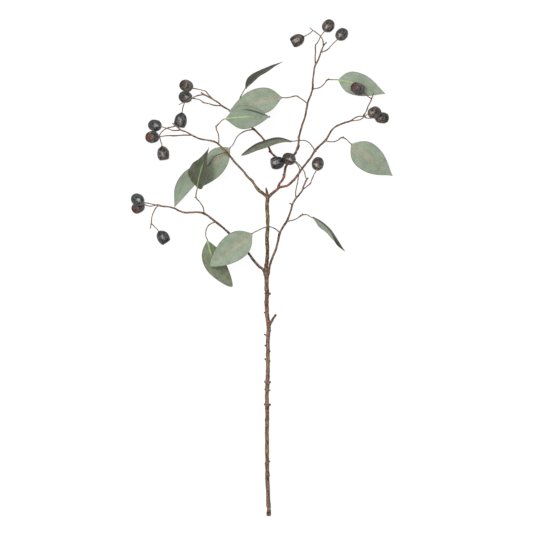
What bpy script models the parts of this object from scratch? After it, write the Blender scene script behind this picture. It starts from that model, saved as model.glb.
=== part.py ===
# Eucalyptus branch, cut and laid down on a table.
# One woody stem forks into six slender limbs. Twelve leaves stand on thin stalks, and eighteen
# round seed capsules hang at the twig ends. The stem, its limbs, twigs and stalks grew as one
# piece, so they are one solid. Each leaf and each capsule is a solid of its own.
# The branch rests on three low points: its cut end and one capsule on each side of the crown.
#
# Lengths are in millimetres and are turned into metres by MM. X runs to the right, Y from the
# cut end to the crown, Z up from the table.
import math

import bmesh
import bpy
from mathutils import Vector

MM = 0.001

# Clearance between a stalk's end and the leaf or capsule that it carries
GAP = 0.3
# How deep the three low points are cut flat to lie on the table
FLAT_DEPTH = 0.45
# Distance under which two points are one point
WELD = 0.000001

# The stem: its radius above the cut end, at the cut end and at the upper fork, and how far it
# rises from the table over each millimetre of its length
STEM_RADIUS = 2.8
CUT_END_RADIUS = 3.1
STEM_END_RADIUS = 2.6
STEM_RISE = 0.1
STEM_MIDDLE_X = -1.5
# A scar's outer end stands this much higher than its foot, and its two ends are this wide
SCAR_LIFT = 0.4
SCAR_FOOT = 1.2
SCAR_TOP = 0.7
# The last part of a stalk runs straight into what it carries
STRAIGHT_RUN = 2.5

# A leaf's outline and section
LEAF_LENGTH_STEPS = 12
LEAF_CROSS_STEPS = 6
LEAF_ROW_CROWDING = 1.4
LEAF_OUTLINE_SKEW = 0.75
LEAF_OUTLINE_FULLNESS = 0.75
# The outline runs in a straight wedge from the stalk up to this share of the leaf's length
LEAF_SHOULDER = 0.3
LEAF_WEDGE = 0.65
# Past the middle the outline draws in by this towards a fine tip
LEAF_POINT = 0.35
LEAF_BASE_HALF = 0.9
LEAF_TIP_HALF = 0.35
BLADE_THICKNESS = 0.7
RIB_THICKNESS = 1.9
RIB_REACH = 0.5
LEAF_WAVE = 0.7
LEAF_WAVE_TURNS = 1.6
# The midrib's bow is largest nearer the base, and the roll is given at the widest place
BOW_SKEW = 0.35
WIDEST_SHARE = 0.4

# A seed capsule's profile, as shares of its length from the disc end and of its largest radius
CAPSULE_LENGTH = 19.5
CAPSULE_RADIUS = 8.5
CAPSULE_STEPS = 12
CAPSULE_PROFILE = (
    (0.030, 0.00),
    (0.010, 0.50),
    (0.000, 0.68),
    (0.035, 0.80),
    (0.200, 0.95),
    (0.400, 1.00),
    (0.620, 0.94),
    (0.800, 0.75),
    (0.920, 0.46),
    (1.000, 0.16),
    (1.000, 0.00),
)

COLOURS = {
    "bark": ((0.23, 0.15, 0.11), 0.75),
    "leaf": ((0.29, 0.37, 0.28), 0.6),
    "capsule": ((0.035, 0.028, 0.027), 0.45),
}


def clear_scene():
    """Start from an empty scene."""
    for found in list(bpy.data.objects):
        bpy.data.objects.remove(found, do_unlink=True)


def new_collection(name):
    """A collection of its own in the scene."""
    made = bpy.data.collections.new(name)
    bpy.context.scene.collection.children.link(made)
    return made


def principled(name):
    """A plain material in the part's colour and roughness."""
    colour, roughness = COLOURS[name]
    made = bpy.data.materials.new(name)
    made.use_nodes = True
    shader = made.node_tree.nodes["Principled BSDF"]
    shader.inputs["Base Color"].default_value = (*colour, 1.0)
    shader.inputs["Roughness"].default_value = roughness
    shader.inputs["Metallic"].default_value = 0.0
    return made


def finished(source, name, collection):
    """The source's evaluated mesh as a plain object, with the source removed."""
    bpy.context.view_layer.update()
    depsgraph = bpy.context.evaluated_depsgraph_get()
    mesh = bpy.data.meshes.new_from_object(source.evaluated_get(depsgraph))
    mesh.name = name
    shape = bmesh.new()
    shape.from_mesh(mesh)
    bmesh.ops.remove_doubles(shape, verts=shape.verts, dist=WELD)
    shape.to_mesh(mesh)
    shape.free()
    place = source.matrix_world.copy()
    bpy.data.objects.remove(source, do_unlink=True)
    made = bpy.data.objects.new(name, mesh)
    made.matrix_world = place
    collection.objects.link(made)
    return made


def tube(name, points, start_radius, end_radius, rings, collection):
    """A tapering round shoot along points set by hand, as a closed mesh."""
    curve = bpy.data.curves.new(name, "CURVE")
    curve.dimensions = "3D"
    curve.bevel_depth = MM
    curve.bevel_resolution = rings
    curve.use_fill_caps = True
    spline = curve.splines.new("POLY")
    spline.points.add(len(points) - 1)
    last = len(points) - 1
    for step, point in enumerate(points):
        place = Vector(point[:3]) * MM
        spline.points[step].co = (*place, 1.0)
        spline.points[step].radius = start_radius + (end_radius - start_radius) * step / last
        if len(point) > 3:
            spline.points[step].radius = point[3]
    source = bpy.data.objects.new(name, curve)
    collection.objects.link(source)
    return finished(source, name, collection)


# The leaves: base and tip, half width, roll about the length, fold of the two halves, how far
# the midrib bows to its left and up, and how much the blade twists from base to tip (degrees).
# A roll near 180 shows the underside, a roll near 90 shows the leaf from its edge. A lower skew
# puts the widest place nearer the base.
LEAVES = {
    "leaf_01": dict(base=(-32.5, 600, 34), tip=(20, 636.8, 50), half=18, roll=-102, fold=4,
                    bow_left=5.0, bow_up=0, twist=6),
    "leaf_02": dict(base=(18.5, 586.5, 46), tip=(-56, 567, 40), half=18.5, roll=-6, fold=8,
                    bow_left=-3, bow_up=5, twist=8),
    "leaf_03": dict(base=(-60, 556.5, 56), tip=(2.5, 560, 60), half=17, roll=172, fold=10,
                    bow_left=1.2, bow_up=4, twist=-25, skew=0.84),
    "leaf_04": dict(base=(97.9, 611.8, 34), tip=(163.6, 593, 25), half=16.3, roll=176, fold=7,
                    bow_left=2, bow_up=2, twist=8, skew=0.66),
    "leaf_05": dict(base=(116, 522, 37), tip=(174, 478, 22), half=19.8, roll=-4, fold=8,
                    bow_left=-0.8, bow_up=4, twist=-6, skew=0.69),
    "leaf_06": dict(base=(32.7, 525.9, 46), tip=(-38, 505.9, 47), half=19, roll=73, fold=4,
                    bow_left=-5.8, bow_up=0, twist=-10, point=-0.1),
    "leaf_07": dict(base=(-99.1, 461.3, 48), tip=(-82.6, 517.2, 62), half=21.8, roll=128, fold=-14,
                    bow_left=1.2, bow_up=4, twist=-4, skew=0.56, point=2.6, taper=0.3),
    "leaf_08": dict(base=(-54, 517, 33), tip=(-97, 461, 18), half=19, roll=30, fold=6,
                    bow_left=-2.5, bow_up=3, twist=0),
    "leaf_09": dict(base=(-88, 490, 33), tip=(-132, 434, 16), half=16, roll=-45, fold=5,
                    bow_left=-9, bow_up=2, twist=0),
    "leaf_10": dict(base=(-22.7, 396.7, 40), tip=(-81.5, 351.5, 35), half=19.5, roll=-5, fold=8,
                    bow_left=-0.5, bow_up=4, twist=6, point=0.0),
    "leaf_11": dict(base=(-85.6, 387, 26), tip=(-51, 322.5, 10), half=16, roll=154, fold=8,
                    bow_left=-5, bow_up=3, twist=-8, point=-0.1),
    "leaf_12": dict(base=(61.3, 419, 40), tip=(106.8, 371.8, 30), half=19, roll=82, fold=17,
                    bow_left=6.2, bow_up=0, twist=32, skew=0.95),
}


def leaf_frame(shape):
    """The leaf's length, its unit direction, and its left and up directions before the roll."""
    run = Vector(shape["tip"]) - Vector(shape["base"])
    along = run.normalized()
    left = Vector((0, 0, 1)).cross(along).normalized()
    return run.length, along, left, along.cross(left)


def leaf_midrib(shape, share):
    """The midrib's point at a share of the leaf's length."""
    length, along, left, up = leaf_frame(shape)
    bow = math.sin(math.pi * share) * (1 + BOW_SKEW * math.cos(math.pi * share))
    sideways = left * shape["bow_left"] + up * shape["bow_up"]
    return Vector(shape["base"]) + along * length * share + sideways * bow


def leaf_direction(shape, share):
    """The midrib's direction at a share of the leaf's length."""
    return (leaf_midrib(shape, share + 0.01) - leaf_midrib(shape, share - 0.01)).normalized()


def leaf_half_width(shape, share):
    """Half the blade's width at a share of its length."""
    shoulder = math.sin(math.pi * share ** shape.get("skew", LEAF_OUTLINE_SKEW))
    wedge = LEAF_WEDGE * max(1 - share / LEAF_SHOULDER, 0)
    wedge += shape.get("point", LEAF_POINT) * min(max(2 * share - 1, 0), shape.get("taper", 1))
    fullness = max(shoulder, 0) ** (LEAF_OUTLINE_FULLNESS + wedge)
    end_half = LEAF_BASE_HALF + (LEAF_TIP_HALF - LEAF_BASE_HALF) * share
    return end_half + (shape["half"] - end_half) * fullness


def leaf_point(shape, share, across):
    """The upper surface's point at a share of the length, across from -1 to 1."""
    along = leaf_direction(shape, share)
    left = leaf_frame(shape)[2]
    left = (left - along * left.dot(along)).normalized()
    up = along.cross(left)
    roll = math.radians(shape["roll"] + shape["twist"] * (share - WIDEST_SHARE))
    side = left * math.cos(roll) + up * math.sin(roll)
    face = up * math.cos(roll) - left * math.sin(roll)
    reach = leaf_half_width(shape, share) * across
    fold = math.radians(shape["fold"])
    wave = math.sin(2 * math.pi * LEAF_WAVE_TURNS * share + shape["half"]) * LEAF_WAVE
    lift = abs(reach) * math.sin(fold) + wave * across ** 2 * math.sin(math.pi * share)
    return leaf_midrib(shape, share) + side * reach * math.cos(fold) + face * lift


def leaf(name, shape, material, collection):
    """A thin blade with its raised midrib on the underside."""
    grid = bmesh.new()
    bmesh.ops.create_grid(grid, x_segments=LEAF_LENGTH_STEPS, y_segments=LEAF_CROSS_STEPS, size=0.5)
    rib_weights = []
    for vert in grid.verts:
        step = vert.co.x + 0.5
        share = 0.5 * step + 0.25 * (1 - math.cos(math.pi * step))
        share = min(max(share, 0), 1)
        row = 2 * vert.co.y
        across = math.copysign(abs(row) ** LEAF_ROW_CROWDING, row)
        rib = 1 - share / RIB_REACH if abs(row) < 0.01 and share < RIB_REACH else 0
        rib_weights.append(rib)
        vert.co = leaf_point(shape, share, across) * MM
    bmesh.ops.triangulate(grid, faces=grid.faces, quad_method="FIXED")
    mesh = bpy.data.meshes.new(name)
    grid.to_mesh(mesh)
    grid.free()
    source = bpy.data.objects.new(name, mesh)
    collection.objects.link(source)
    thickness = source.vertex_groups.new(name="thickness")
    for index, rib in enumerate(rib_weights):
        share = (BLADE_THICKNESS + (RIB_THICKNESS - BLADE_THICKNESS) * rib) / RIB_THICKNESS
        thickness.add([index], share, "REPLACE")
    blade = source.modifiers.new("blade", "SOLIDIFY")
    blade.thickness = RIB_THICKNESS * MM
    blade.offset = -1
    blade.vertex_group = "thickness"
    made = finished(source, name, collection)
    made.data.materials.append(material)
    made.data.shade_smooth()
    made.data.set_sharp_from_angle(angle=math.radians(50))
    return made


# The seed capsules: centre, the direction from the stalk to the disc end, and the path of the
# thin stalk that carries each. A capsule marked low lies on the table.
CAPSULES = {
    "capsule_01": dict(centre=(41.1, 667.8, 38), axis=(-0.88, -0.47, 0),
                       stalk=((62.4, 681, 41.5), (56.3, 675.8, 40))),
    "capsule_02": dict(centre=(83.1, 686.8, 31), axis=(0.35, 0.53, -0.78),
                       stalk=((65.9, 660.6, 39), (68.8, 664.2, 38.5), (73.3, 673.2, 39))),
    "capsule_03": dict(centre=(101.9, 675, 30), axis=(0.39, 0.49, -0.78),
                       stalk=((84, 655.3, 40.5), (88.5, 660.6, 40))),
    "capsule_04": dict(centre=(125.6, 598.5, 43), axis=(-0.62, 0.36, 0.69),
                       stalk=((144, 585.3, 36), (138.5, 589.5, 35))),
    "capsule_05": dict(centre=(147.5, 566.3, 25.9), axis=(0.61, 0.15, -0.78),
                       stalk=((134, 561, 24), (136.9, 562.7, 29.5))),
    "capsule_06": dict(centre=(158, 559.6, 0), axis=(0.85, 0, -0.5), low=True, radius=7.9,
                       stalk=((134, 560.6, 23.5), (137, 559.4, 20.5), (143, 558.9, 15))),
    "capsule_07": dict(centre=(13.3, 495.6, 51), axis=(-0.97, -0.15, 0.15), radius=9.0,
                       stalk=((38.8, 494.8, 46.5), (33, 497.5, 47.5), (28, 498.4, 48.5))),
    "capsule_08": dict(centre=(29.7, 500.3, 62), axis=(-0.58, 0.25, -0.78),
                       stalk=((46.4, 488.6, 46), (43.2, 492.1, 55), (39.8, 495.5, 65))),
    "capsule_09": dict(centre=(68.5, 493.1, 44), axis=(0.14, 0.61, -0.78),
                       stalk=((58.8, 467.2, 46.5), (60.4, 471.8, 48), (63.5, 478.8, 51))),
    "capsule_10": dict(centre=(-114, 603.3, 33), axis=(-0.6, 0.2, 0.78),
                       stalk=((-88.2, 596.2, 31), (-93.6, 597.8, 29), (-99.8, 599.5, 25.5))),
    "capsule_11": dict(centre=(-115.5, 588.4, 19), axis=(-0.61, 0.15, -0.78),
                       stalk=((-92, 581, 28), (-95.9, 584, 28), (-102.9, 585.9, 28))),
    "capsule_12": dict(centre=(-123.2, 556.5, 18), axis=(-0.17, -0.98, 0.05), radius=8.75, length=21,
                       stalk=((-117.6, 580.7, 31.5), (-119.3, 576, 25), (-120.6, 571.8, 20))),
    "capsule_13": dict(centre=(-158.6, 548.7, 0), axis=(-0.62, 0.13, -0.78), low=True,
                       stalk=((-137.2, 542.5, 21.5), (-143, 544.8, 20.3))),
    "capsule_14": dict(centre=(-161.9, 532.3, 20), axis=(-0.63, -0.02, 0.78),
                       stalk=((-143.4, 544.5, 23), (-149, 540.5, 16.5), (-152.6, 536.2, 11.5))),
    "capsule_15": dict(centre=(-148, 510.3, 14), axis=(0.16, -0.98, 0.1),
                       stalk=((-152.7, 532.7, 24), (-151.8, 528.5, 20), (-150.6, 524.5, 15))),
    "capsule_16": dict(centre=(-182.3, 443.8, 31.6), axis=(-0.57, 0.27, -0.78),
                       stalk=((-158.9, 437.4, 25), (-165, 438.5, 34), (-171, 439.7, 40))),
    "capsule_17": dict(centre=(-182.2, 434.7, 13), axis=(-0.49, -0.4, 0.78),
                       stalk=((-157.5, 436.7, 24), (-167.9, 435.6, 11.5), (-173.5, 437.6, 5.5))),
    "capsule_18": dict(centre=(-148.7, 392.3, 14), axis=(0.57, -0.82, 0.05),
                       stalk=((-164.1, 411, 18), (-159.8, 406.2, 15.5))),
}

# The limbs and twigs: the path from where each leaves its parent, and its two end radii.
# A fourth value at a point is the radius there, where the shoot thickens at a node.
LIMBS = {
    "stem": dict(radii=(STEM_RADIUS, STEM_END_RADIUS), path=(
        (0.6, 0, CUT_END_RADIUS - FLAT_DEPTH, CUT_END_RADIUS), (0.1, 14, 4.4), (-1.4, 52, 8.3),
        (-2, 77, 10.8), (-2.1, 104, 13.5), (-2, 130, 16.1), (-1.8, 143, 17.4),
        (-2.0, 152, 18.4, 2.9), (-2.0, 156, 18.8, 3.6), (-2.1, 160, 19.2, 2.9),
        (-2.2, 174, 20.5), (-1.6, 184, 21.5, 3.0), (-1.4, 188, 21.9, 3.7), (-1.4, 192, 22.3, 3.0),
        (-0.8, 207, 23.8), (-0.8, 229, 26), (-0.8, 250, 28.1), (0.3, 267, 29.8, 3.1),
        (-1.8, 282, 31.3), (-2.6, 295, 32.6, 3.0), (-2.6, 304, 33.5, 3.0), (-2.1, 313, 34.4, 3.2),
        (-2.6, 322, 35.3, 2.9), (-2.6, 332, 36.2, 3.0), (-3, 341, 37, 3.1), (-3.1, 350, 38, 2.8),
        (-2.1, 360, 39.2), (-1.5, 369, 40.2), (-1.7, 378, 41.1), (-2.1, 388, 42), (-1.5, 400, 43),
        (-0.9, 410, 43.8), (-1.5, 425, 44.8), (-2.2, 438, 45.6), (-1, 447, 46, 2.6),
        (-1.9, 452, 46.6, 1.9), (-3.4, 460.6, 47.6, 1.2))),
    "stub_right": dict(radii=(2.26, 1.41), path=(
        (0.3, 267, 29.8), (5.4, 275.5, 30.6), (10.5, 283.7, 31.4))),
    "limb_upper_left": dict(radii=(2.37, 0.83), path=(
        (-0.8, 446.5, 46), (-4.2, 449.4, 46.4), (-7.3, 452.4, 46.8), (-13.5, 457, 47),
        (-19.8, 465.6, 47, 1.78), (-22.9, 470, 46.9, 2.0), (-29, 476, 46.6, 1.62),
        (-35.3, 484, 46.1, 1.57), (-43, 492, 45.3, 1.52), (-50, 500, 44.4, 1.47),
        (-54.7, 506, 43.6, 1.47), (-59.4, 510.7, 42.7, 1.62), (-64.8, 516.6, 41.6, 1.36),
        (-71, 522.5, 40.4, 1.36), (-73.4, 524.3, 39.9, 1.31), (-82.7, 527, 38, 1.2),
        (-92, 528.5, 36.5, 1.15), (-99, 530.5, 35.2, 1.15), (-106.8, 534.4, 33.4, 1.2),
        (-115.4, 539.3, 31, 1.04), (-121.6, 541.4, 29.4, 1.04), (-127, 545.6, 28, 0.99),
        (-130.9, 549, 27.2, 0.99), (-134.8, 551.5, 26.8, 0.78))),
    "twig_upper_left_high": dict(radii=(0.94, 0.72), path=(
        (-122.6, 542, 29.1), (-132.5, 541.4, 24.6), (-137.2, 542.5, 21.5), (-139, 543.2, 20.6))),
    "twig_upper_left_tip": dict(radii=(0.94, 0.72), path=(
        (-129.6, 548, 27.4), (-136.4, 546, 26), (-143.4, 544.5, 23), (-144.6, 543.8, 22))),
    "twig_upper_left_low": dict(radii=(0.94, 0.72), path=(
        (-107.2, 534.6, 33.2), (-120, 534.6, 31.5), (-132, 533.8, 28.6, 0.99), (-142, 534, 26.4),
        (-152.7, 532.7, 24))),
    "limb_central": dict(radii=(2.15, 0.88), path=(
        (-0.8, 446.5, 46), (3.6, 451.2, 46, 2.15), (8.2, 455.5, 45.6, 2.05), (12.9, 459.4, 45, 2.15),
        (13.9, 462.5, 44.4, 1.84), (16, 467.2, 43.4, 1.73), (19.5, 471.8, 42.4, 1.73),
        (21.9, 477.3, 41.4, 1.94), (22.6, 482.7, 40.6, 1.73), (23.8, 489, 39.8, 1.73),
        (29, 498, 39.4, 1.62), (35.1, 505.7, 40.6, 1.62), (38.6, 511.5, 43, 1.62),
        (41.3, 517.7, 46.4, 1.94), (42.1, 523, 49, 1.52), (42.5, 530, 51, 1.62), (44.9, 541, 52, 1.41),
        (47.2, 548.7, 52, 1.41), (50.3, 557.3, 51.4, 1.41), (52.7, 568.2, 50.4, 1.36),
        (54.6, 578.7, 49, 1.52), (58.9, 590, 47.8, 1.31), (61.6, 599.3, 46.8, 1.47),
        (62, 610.2, 45.8, 1.25), (63.2, 620.3, 44.8, 1.2), (65.1, 631.2, 43.9, 1.36),
        (68.8, 638.3, 43, 1.15), (71.9, 646.3, 42, 1.15), (73.3, 650.8, 41.6, 1.2),
        (75.5, 656.2, 41.2, 1.04), (77.7, 660.6, 41, 1.04), (81.3, 664.4, 41, 0.78))),
    "twig_top_middle": dict(radii=(0.99, 0.78), path=(
        (65.8, 632.2, 43.8), (65.2, 642.8, 42.5), (65.7, 652.6, 40.6), (65.9, 660.6, 39, 1.09),
        (66.6, 662.4, 38.7, 0.67))),
    "twig_top_left": dict(radii=(0.99, 0.67), path=(
        (76.8, 659.2, 41.1), (76.4, 663.5, 41.8), (75.9, 666.9, 42.3), (72.8, 672.3, 43),
        (67, 677.6, 42.4), (61.6, 681.2, 41.4), (57.6, 684.6, 40.6))),
    "twig_top_right": dict(radii=(0.99, 0.72), path=(
        (73.2, 650.2, 41.7), (78.6, 651.9, 41.4), (84, 655.3, 40.5), (85.6, 656.6, 40.2))),
    "limb_left": dict(radii=(1.52, 0.99), path=(
        (26.4, 493.8, 39.5), (17, 500, 37.5), (8.2, 505.7, 34), (3.6, 510.7, 30.5, 1.62),
        (0.5, 517.7, 26.5), (-6.5, 528.5, 25), (-15.8, 538.6, 27), (-20.5, 543, 28.2, 1.52),
        (-37, 556, 30), (-44, 561.3, 30.5), (-54.5, 569.5, 31), (-65.6, 576, 31.3, 1.31),
        (-68.7, 579, 31.4), (-78, 584.9, 31.6, 1.25), (-85.8, 589.2, 31.8), (-90.5, 591.5, 32, 1.31),
        (-94.8, 594.5, 32.4, 1.09))),
    "twig_left_low": dict(radii=(0.94, 0.67), path=(
        (-90.5, 591.3, 32), (-99.8, 590, 31.8), (-106.8, 586.5, 31.6), (-113.8, 583, 31.6),
        (-118.5, 580.6, 31.6), (-125.5, 577.4, 31.4))),
    "twig_left_high": dict(radii=(0.94, 0.67), path=(
        (-77.6, 584.7, 31.6), (-84.3, 591.5, 31.4), (-88.2, 596.2, 31), (-90, 597, 30.8))),
    "twig_left_middle": dict(radii=(0.94, 0.78), path=(
        (-65.6, 576, 31.3), (-76.5, 576.6, 30.2), (-81.9, 578.3, 29.5), (-88.2, 579.9, 28.6),
        (-92, 581, 28, 1.09), (-93.2, 582, 27.4, 0.62))),
    "limb_right": dict(radii=(1.73, 1.09), path=(
        (12.9, 459.9, 45), (16.5, 461.6, 45.6), (19.9, 462, 46.3), (26, 463.7, 47.8),
        (31.6, 468, 49.4), (36.2, 472.6, 50.8), (40.9, 478.8, 52), (46.4, 486.6, 52.4),
        (50.2, 491.7, 52.2), (54.9, 497.5, 51.6), (59.6, 503.7, 50.8), (65, 512.3, 49.4, 1.73),
        (70.5, 518.5, 47.8), (79.4, 526.8, 45, 1.62), (83.3, 532.7, 43), (87.4, 539.7, 40.6),
        (92.4, 545.3, 38.2), (98.5, 548.8, 35.6), (106.6, 552, 32.4), (115.7, 555, 29.2, 1.31),
        (118.7, 557.4, 28.2, 0.88), (123.8, 560.2, 26.8, 0.88), (130.8, 561.4, 25, 0.94),
        (134, 561, 24, 1.41), (136.4, 561.6, 23.6, 0.99))),
    "twig_right_lower": dict(radii=(0.83, 0.78), path=(
        (114.6, 554.7, 29.5), (120.7, 555.2, 27.3), (128.8, 556.8, 24.8), (133.2, 559.6, 23.8))),
    "twig_right_upper": dict(radii=(0.94, 0.67), path=(
        (132.5, 561.4, 24.4), (137, 568, 27.5), (139, 574, 30.5), (142, 580, 33.5),
        (144.2, 585.3, 36, 0.94), (145.5, 589.3, 37.4), (147, 592.8, 38.2))),
    "limb_lower_left": dict(radii=(2.15, 1.09), path=(
        (-2.6, 330, 36), (-4.9, 340, 35.8), (-7.3, 346, 35.3), (-12.9, 350.5, 34.5),
        (-21.3, 360, 33, 1.84), (-28.7, 370, 31.4, 1.73), (-41, 383, 29, 1.68),
        (-54.7, 396.8, 27.4, 1.62), (-64, 405.3, 26.4, 1.57), (-74.2, 413.4, 25.8, 1.73),
        (-78.8, 417, 25.6, 1.52), (-85, 421.8, 25.4, 1.47), (-90.5, 425, 25.2, 1.62),
        (-99.5, 426.8, 25, 1.36), (-108.7, 426.4, 24.8, 1.31), (-118.6, 426.5, 24.6, 1.31),
        (-125, 428.8, 24.4, 1.25), (-132, 432.2, 24.3, 1.25), (-140.3, 434.4, 24.2, 1.2),
        (-150, 435.4, 24.1, 1.2), (-153.6, 436.6, 24.1, 1.41), (-159.8, 437, 24.6, 0.78))),
    "twig_lower_left": dict(radii=(0.88, 0.67), path=(
        (-153.6, 436.4, 24), (-156.6, 434.4, 23.4), (-160.7, 428, 22), (-163.4, 421, 20.4),
        (-164.5, 412, 18.2, 0.88), (-166.1, 403.5, 17))),
    "limb_lower_right": dict(radii=(1.84, 0.99), path=(
        (-2.8, 334, 36.4), (0.2, 341, 37), (1.1, 347.7, 37.6), (2.5, 355.2, 38.4),
        (4.9, 361.7, 39.2), (7.7, 368.3, 39.8), (10.9, 376.7, 40.4), (13.3, 386, 41),
        (15.9, 397.5, 41.6, 1.68), (19.8, 405, 42), (25.4, 413.7, 42.6, 1.62), (28.7, 421.5, 43),
        (31.5, 430, 43.5, 1.36), (33.1, 436, 43.8), (34.7, 440, 44, 1.36), (38.6, 446.3, 44.4, 1.41),
        (43.2, 451.6, 44.8, 1.2), (47.9, 458.6, 45.2, 1.31), (48.7, 462.5, 45.3, 1.09),
        (51, 467.2, 45.5, 1.09), (53.4, 472, 45.6, 1.2), (55.8, 475, 45.8, 0.88))),
    "bud_lower_right": dict(radii=(1.09, 0.67), path=(
        (33.2, 436.4, 43.8), (30.6, 438.4, 44.1), (29, 439, 44.3))),
    "twig_middle_outer": dict(radii=(0.83, 0.67), path=(
        (53.4, 472, 45.6), (51.8, 476.5, 45.4), (50.2, 482.7, 45), (46.4, 488.6, 46))),
    "twig_middle_inner": dict(radii=(0.83, 0.67), path=(
        (38.6, 446.4, 44.4), (37.8, 452.4, 44.4), (38.6, 459.4, 44.4), (40.5, 468, 44.6),
        (41.9, 477.3, 45), (43.4, 485.8, 45.4), (41.4, 491.3, 45.8), (38.8, 494.8, 46.5))),
    "twig_middle_right": dict(radii=(0.88, 0.72), path=(
        (47.9, 458.2, 45.2), (54.9, 463.7, 45.8), (58.8, 467.2, 46.5, 0.99), (59.4, 468.6, 46.7, 0.67))),
}

# The leaf stalks, from where each leaves its parent to just before the leaf
LEAF_STALKS = {
    "leaf_01": ((-44, 561.3, 30.5), (-43.6, 575, 31), (-39.5, 587.6, 32), (-35.6, 594.8, 33)),
    "leaf_02": ((54.2, 578.2, 49), (48.8, 582.6, 49), (43.3, 586.5, 48.6), (39.4, 588.8, 48.4, 0.99),
                (31.7, 587.6, 47.8), (24.7, 586.4, 46.8)),
    "leaf_03": ((-69.9, 521.6, 40.6), (-69.5, 528.5, 43), (-70.3, 536.3, 47), (-73, 545.3, 51, 1.09),
                (-68.7, 550.7, 53.4)),
    "leaf_04": ((61.4, 598.5, 46.9), (66.1, 599.4, 46), (72.8, 601.4, 44), (78.6, 607, 41.4),
                (82.2, 611.6, 39.6, 1.09), (89.4, 612, 36.8)),
    "leaf_05": ((79.4, 526.8, 45), (83.3, 525.4, 44.4), (91.4, 525.3, 43), (96.5, 527, 42),
                (102.5, 531, 40.8, 1.09), (109.6, 528, 38.9)),
    "leaf_06": ((65, 511.8, 49.4), (60.4, 519.7, 46), (54.9, 525.1, 43.6), (51, 526.8, 42.8),
                (44.8, 526.9, 43), (38.6, 526.4, 44.2)),
    "leaf_07": ((-90.5, 424.6, 25.2), (-90.9, 430.6, 29), (-92.8, 436, 33), (-96.7, 441.5, 37.4),
                (-101, 446.8, 41.4, 1.09), (-100.8, 454, 45)),
    "leaf_08": ((-20.5, 542.8, 28.2), (-28.2, 541.7, 29), (-35.2, 539.4, 30), (-41.5, 535, 31),
                (-45, 530.8, 31.6), (-49.2, 522.4, 32.2)),
    "leaf_09": ((-59.4, 510.4, 42.7), (-66.4, 508.6, 43), (-74.2, 505, 42.4), (-79, 500.6, 40),
                (-82, 494.6, 36.6)),
    "leaf_10": ((15.9, 397.3, 41.6), (13.3, 400.5, 39.6), (8.6, 403.7, 37.4), (3, 406.1, 36.2),
                (-4.5, 405.6, 36), (-9.1, 403.9, 36.6), (-15.7, 400.6, 38)),
    "leaf_11": ((-74.2, 413, 25.8), (-79.6, 411.2, 26), (-83.5, 408.8, 26.4), (-86.6, 404.2, 26.8),
                (-87.9, 398, 27), (-87.4, 391.6, 26.8)),
    "leaf_12": ((25.4, 413.3, 42.6), (31.6, 414.9, 42.8), (37.8, 416.8, 42.8), (42.5, 419.7, 42.6),
                (47.1, 422.8, 42.2, 1.09), (54, 422.8, 41.4)),
}
LEAF_STALK_RADII = (0.82, 0.72)
CAPSULE_STALK_RADII = (0.7, 0.72)

# Broken side shoots and leaf scars: the height up the stem, the reach to the right (negative to
# the left), the lean towards the crown and the radius where it stands out
SCARS = (
    (56, 3.4, 1.0, 0.9), (73, -3.8, 0.6, 1.0), (76, 3.7, 1.2, 0.9), (134, -3.6, 1.0, 1.0),
    (156, 4.9, 1.0, 1.4), (156.5, -4.8, 0.8, 1.4), (176, 4.0, 1.6, 1.0), (177, -4.2, 1.2, 1.0),
    (188, 4.6, 0.4, 1.5), (188.4, -4.6, 1.2, 1.4), (217, 4.2, 1.4, 1.1), (220, -4.2, 1.0, 1.0),
    (231, 4.3, 1.2, 1.1), (239.5, -4.0, 0.6, 1.2), (253, -4.8, 3.0, 0.9), (259, 4.9, 2.2, 1.6),
    (284, -4.8, 2.4, 1.0), (311, 4.4, 2.4, 1.5), (312, -4.2, 1.2, 1.0),
)
# Small side stubs on limbs: foot, tip and radius
STUBS = (
    ((-22.9, 470, 46.9), (-24.6, 472.6, 48.4), 0.9), ((41.3, 517.7, 46.4), (44, 519.6, 47), 0.8),
    ((42.5, 530, 51), (40, 531.6, 51.6), 0.7), ((3.6, 510.7, 30.5), (0.2, 511.8, 31.4), 1.1),
    ((-73, 545.3, 51), (-74.4, 547.4, 51.8), 0.5), ((82.2, 611.6, 39.6), (84.2, 614.2, 39.8), 0.5),
    ((102.5, 531, 40.8), (105.2, 532.8, 41), 0.5), ((-101, 446.8, 41.4), (-104.2, 447.4, 42.2), 0.5),
    ((47.1, 422.8, 42.2), (47.6, 425, 42.8), 0.6), ((21.9, 477.3, 41.4), (19.4, 479.2, 42), 0.7),
    ((65, 512.3, 49.4), (67, 511, 50), 0.7), ((134, 561, 24), (134.2, 562.8, 25.2), 0.9),
)


def capsule_radius(shape):
    """The capsule's largest radius."""
    return shape.get("radius", CAPSULE_RADIUS)


def capsule_length(shape):
    """The capsule's length from neck to disc."""
    return shape.get("length", CAPSULE_LENGTH)


def capsule_centre(shape):
    """The capsule's centre, let down to the table where it is a low one."""
    centre = Vector(shape["centre"])
    if not shape.get("low"):
        return centre
    axis = Vector(shape["axis"]).normalized()
    upright = math.sqrt(1 - axis.z ** 2)
    depths = []
    for along, out in CAPSULE_PROFILE:
        height = (0.5 - along) * capsule_length(shape) * axis.z
        depths.append(out * capsule_radius(shape) * upright - height)
    centre.z = max(depths) - FLAT_DEPTH
    return centre


def capsule_neck(shape):
    """The point where the capsule meets its stalk."""
    axis = Vector(shape["axis"]).normalized()
    return capsule_centre(shape) - axis * capsule_length(shape) / 2


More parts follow.
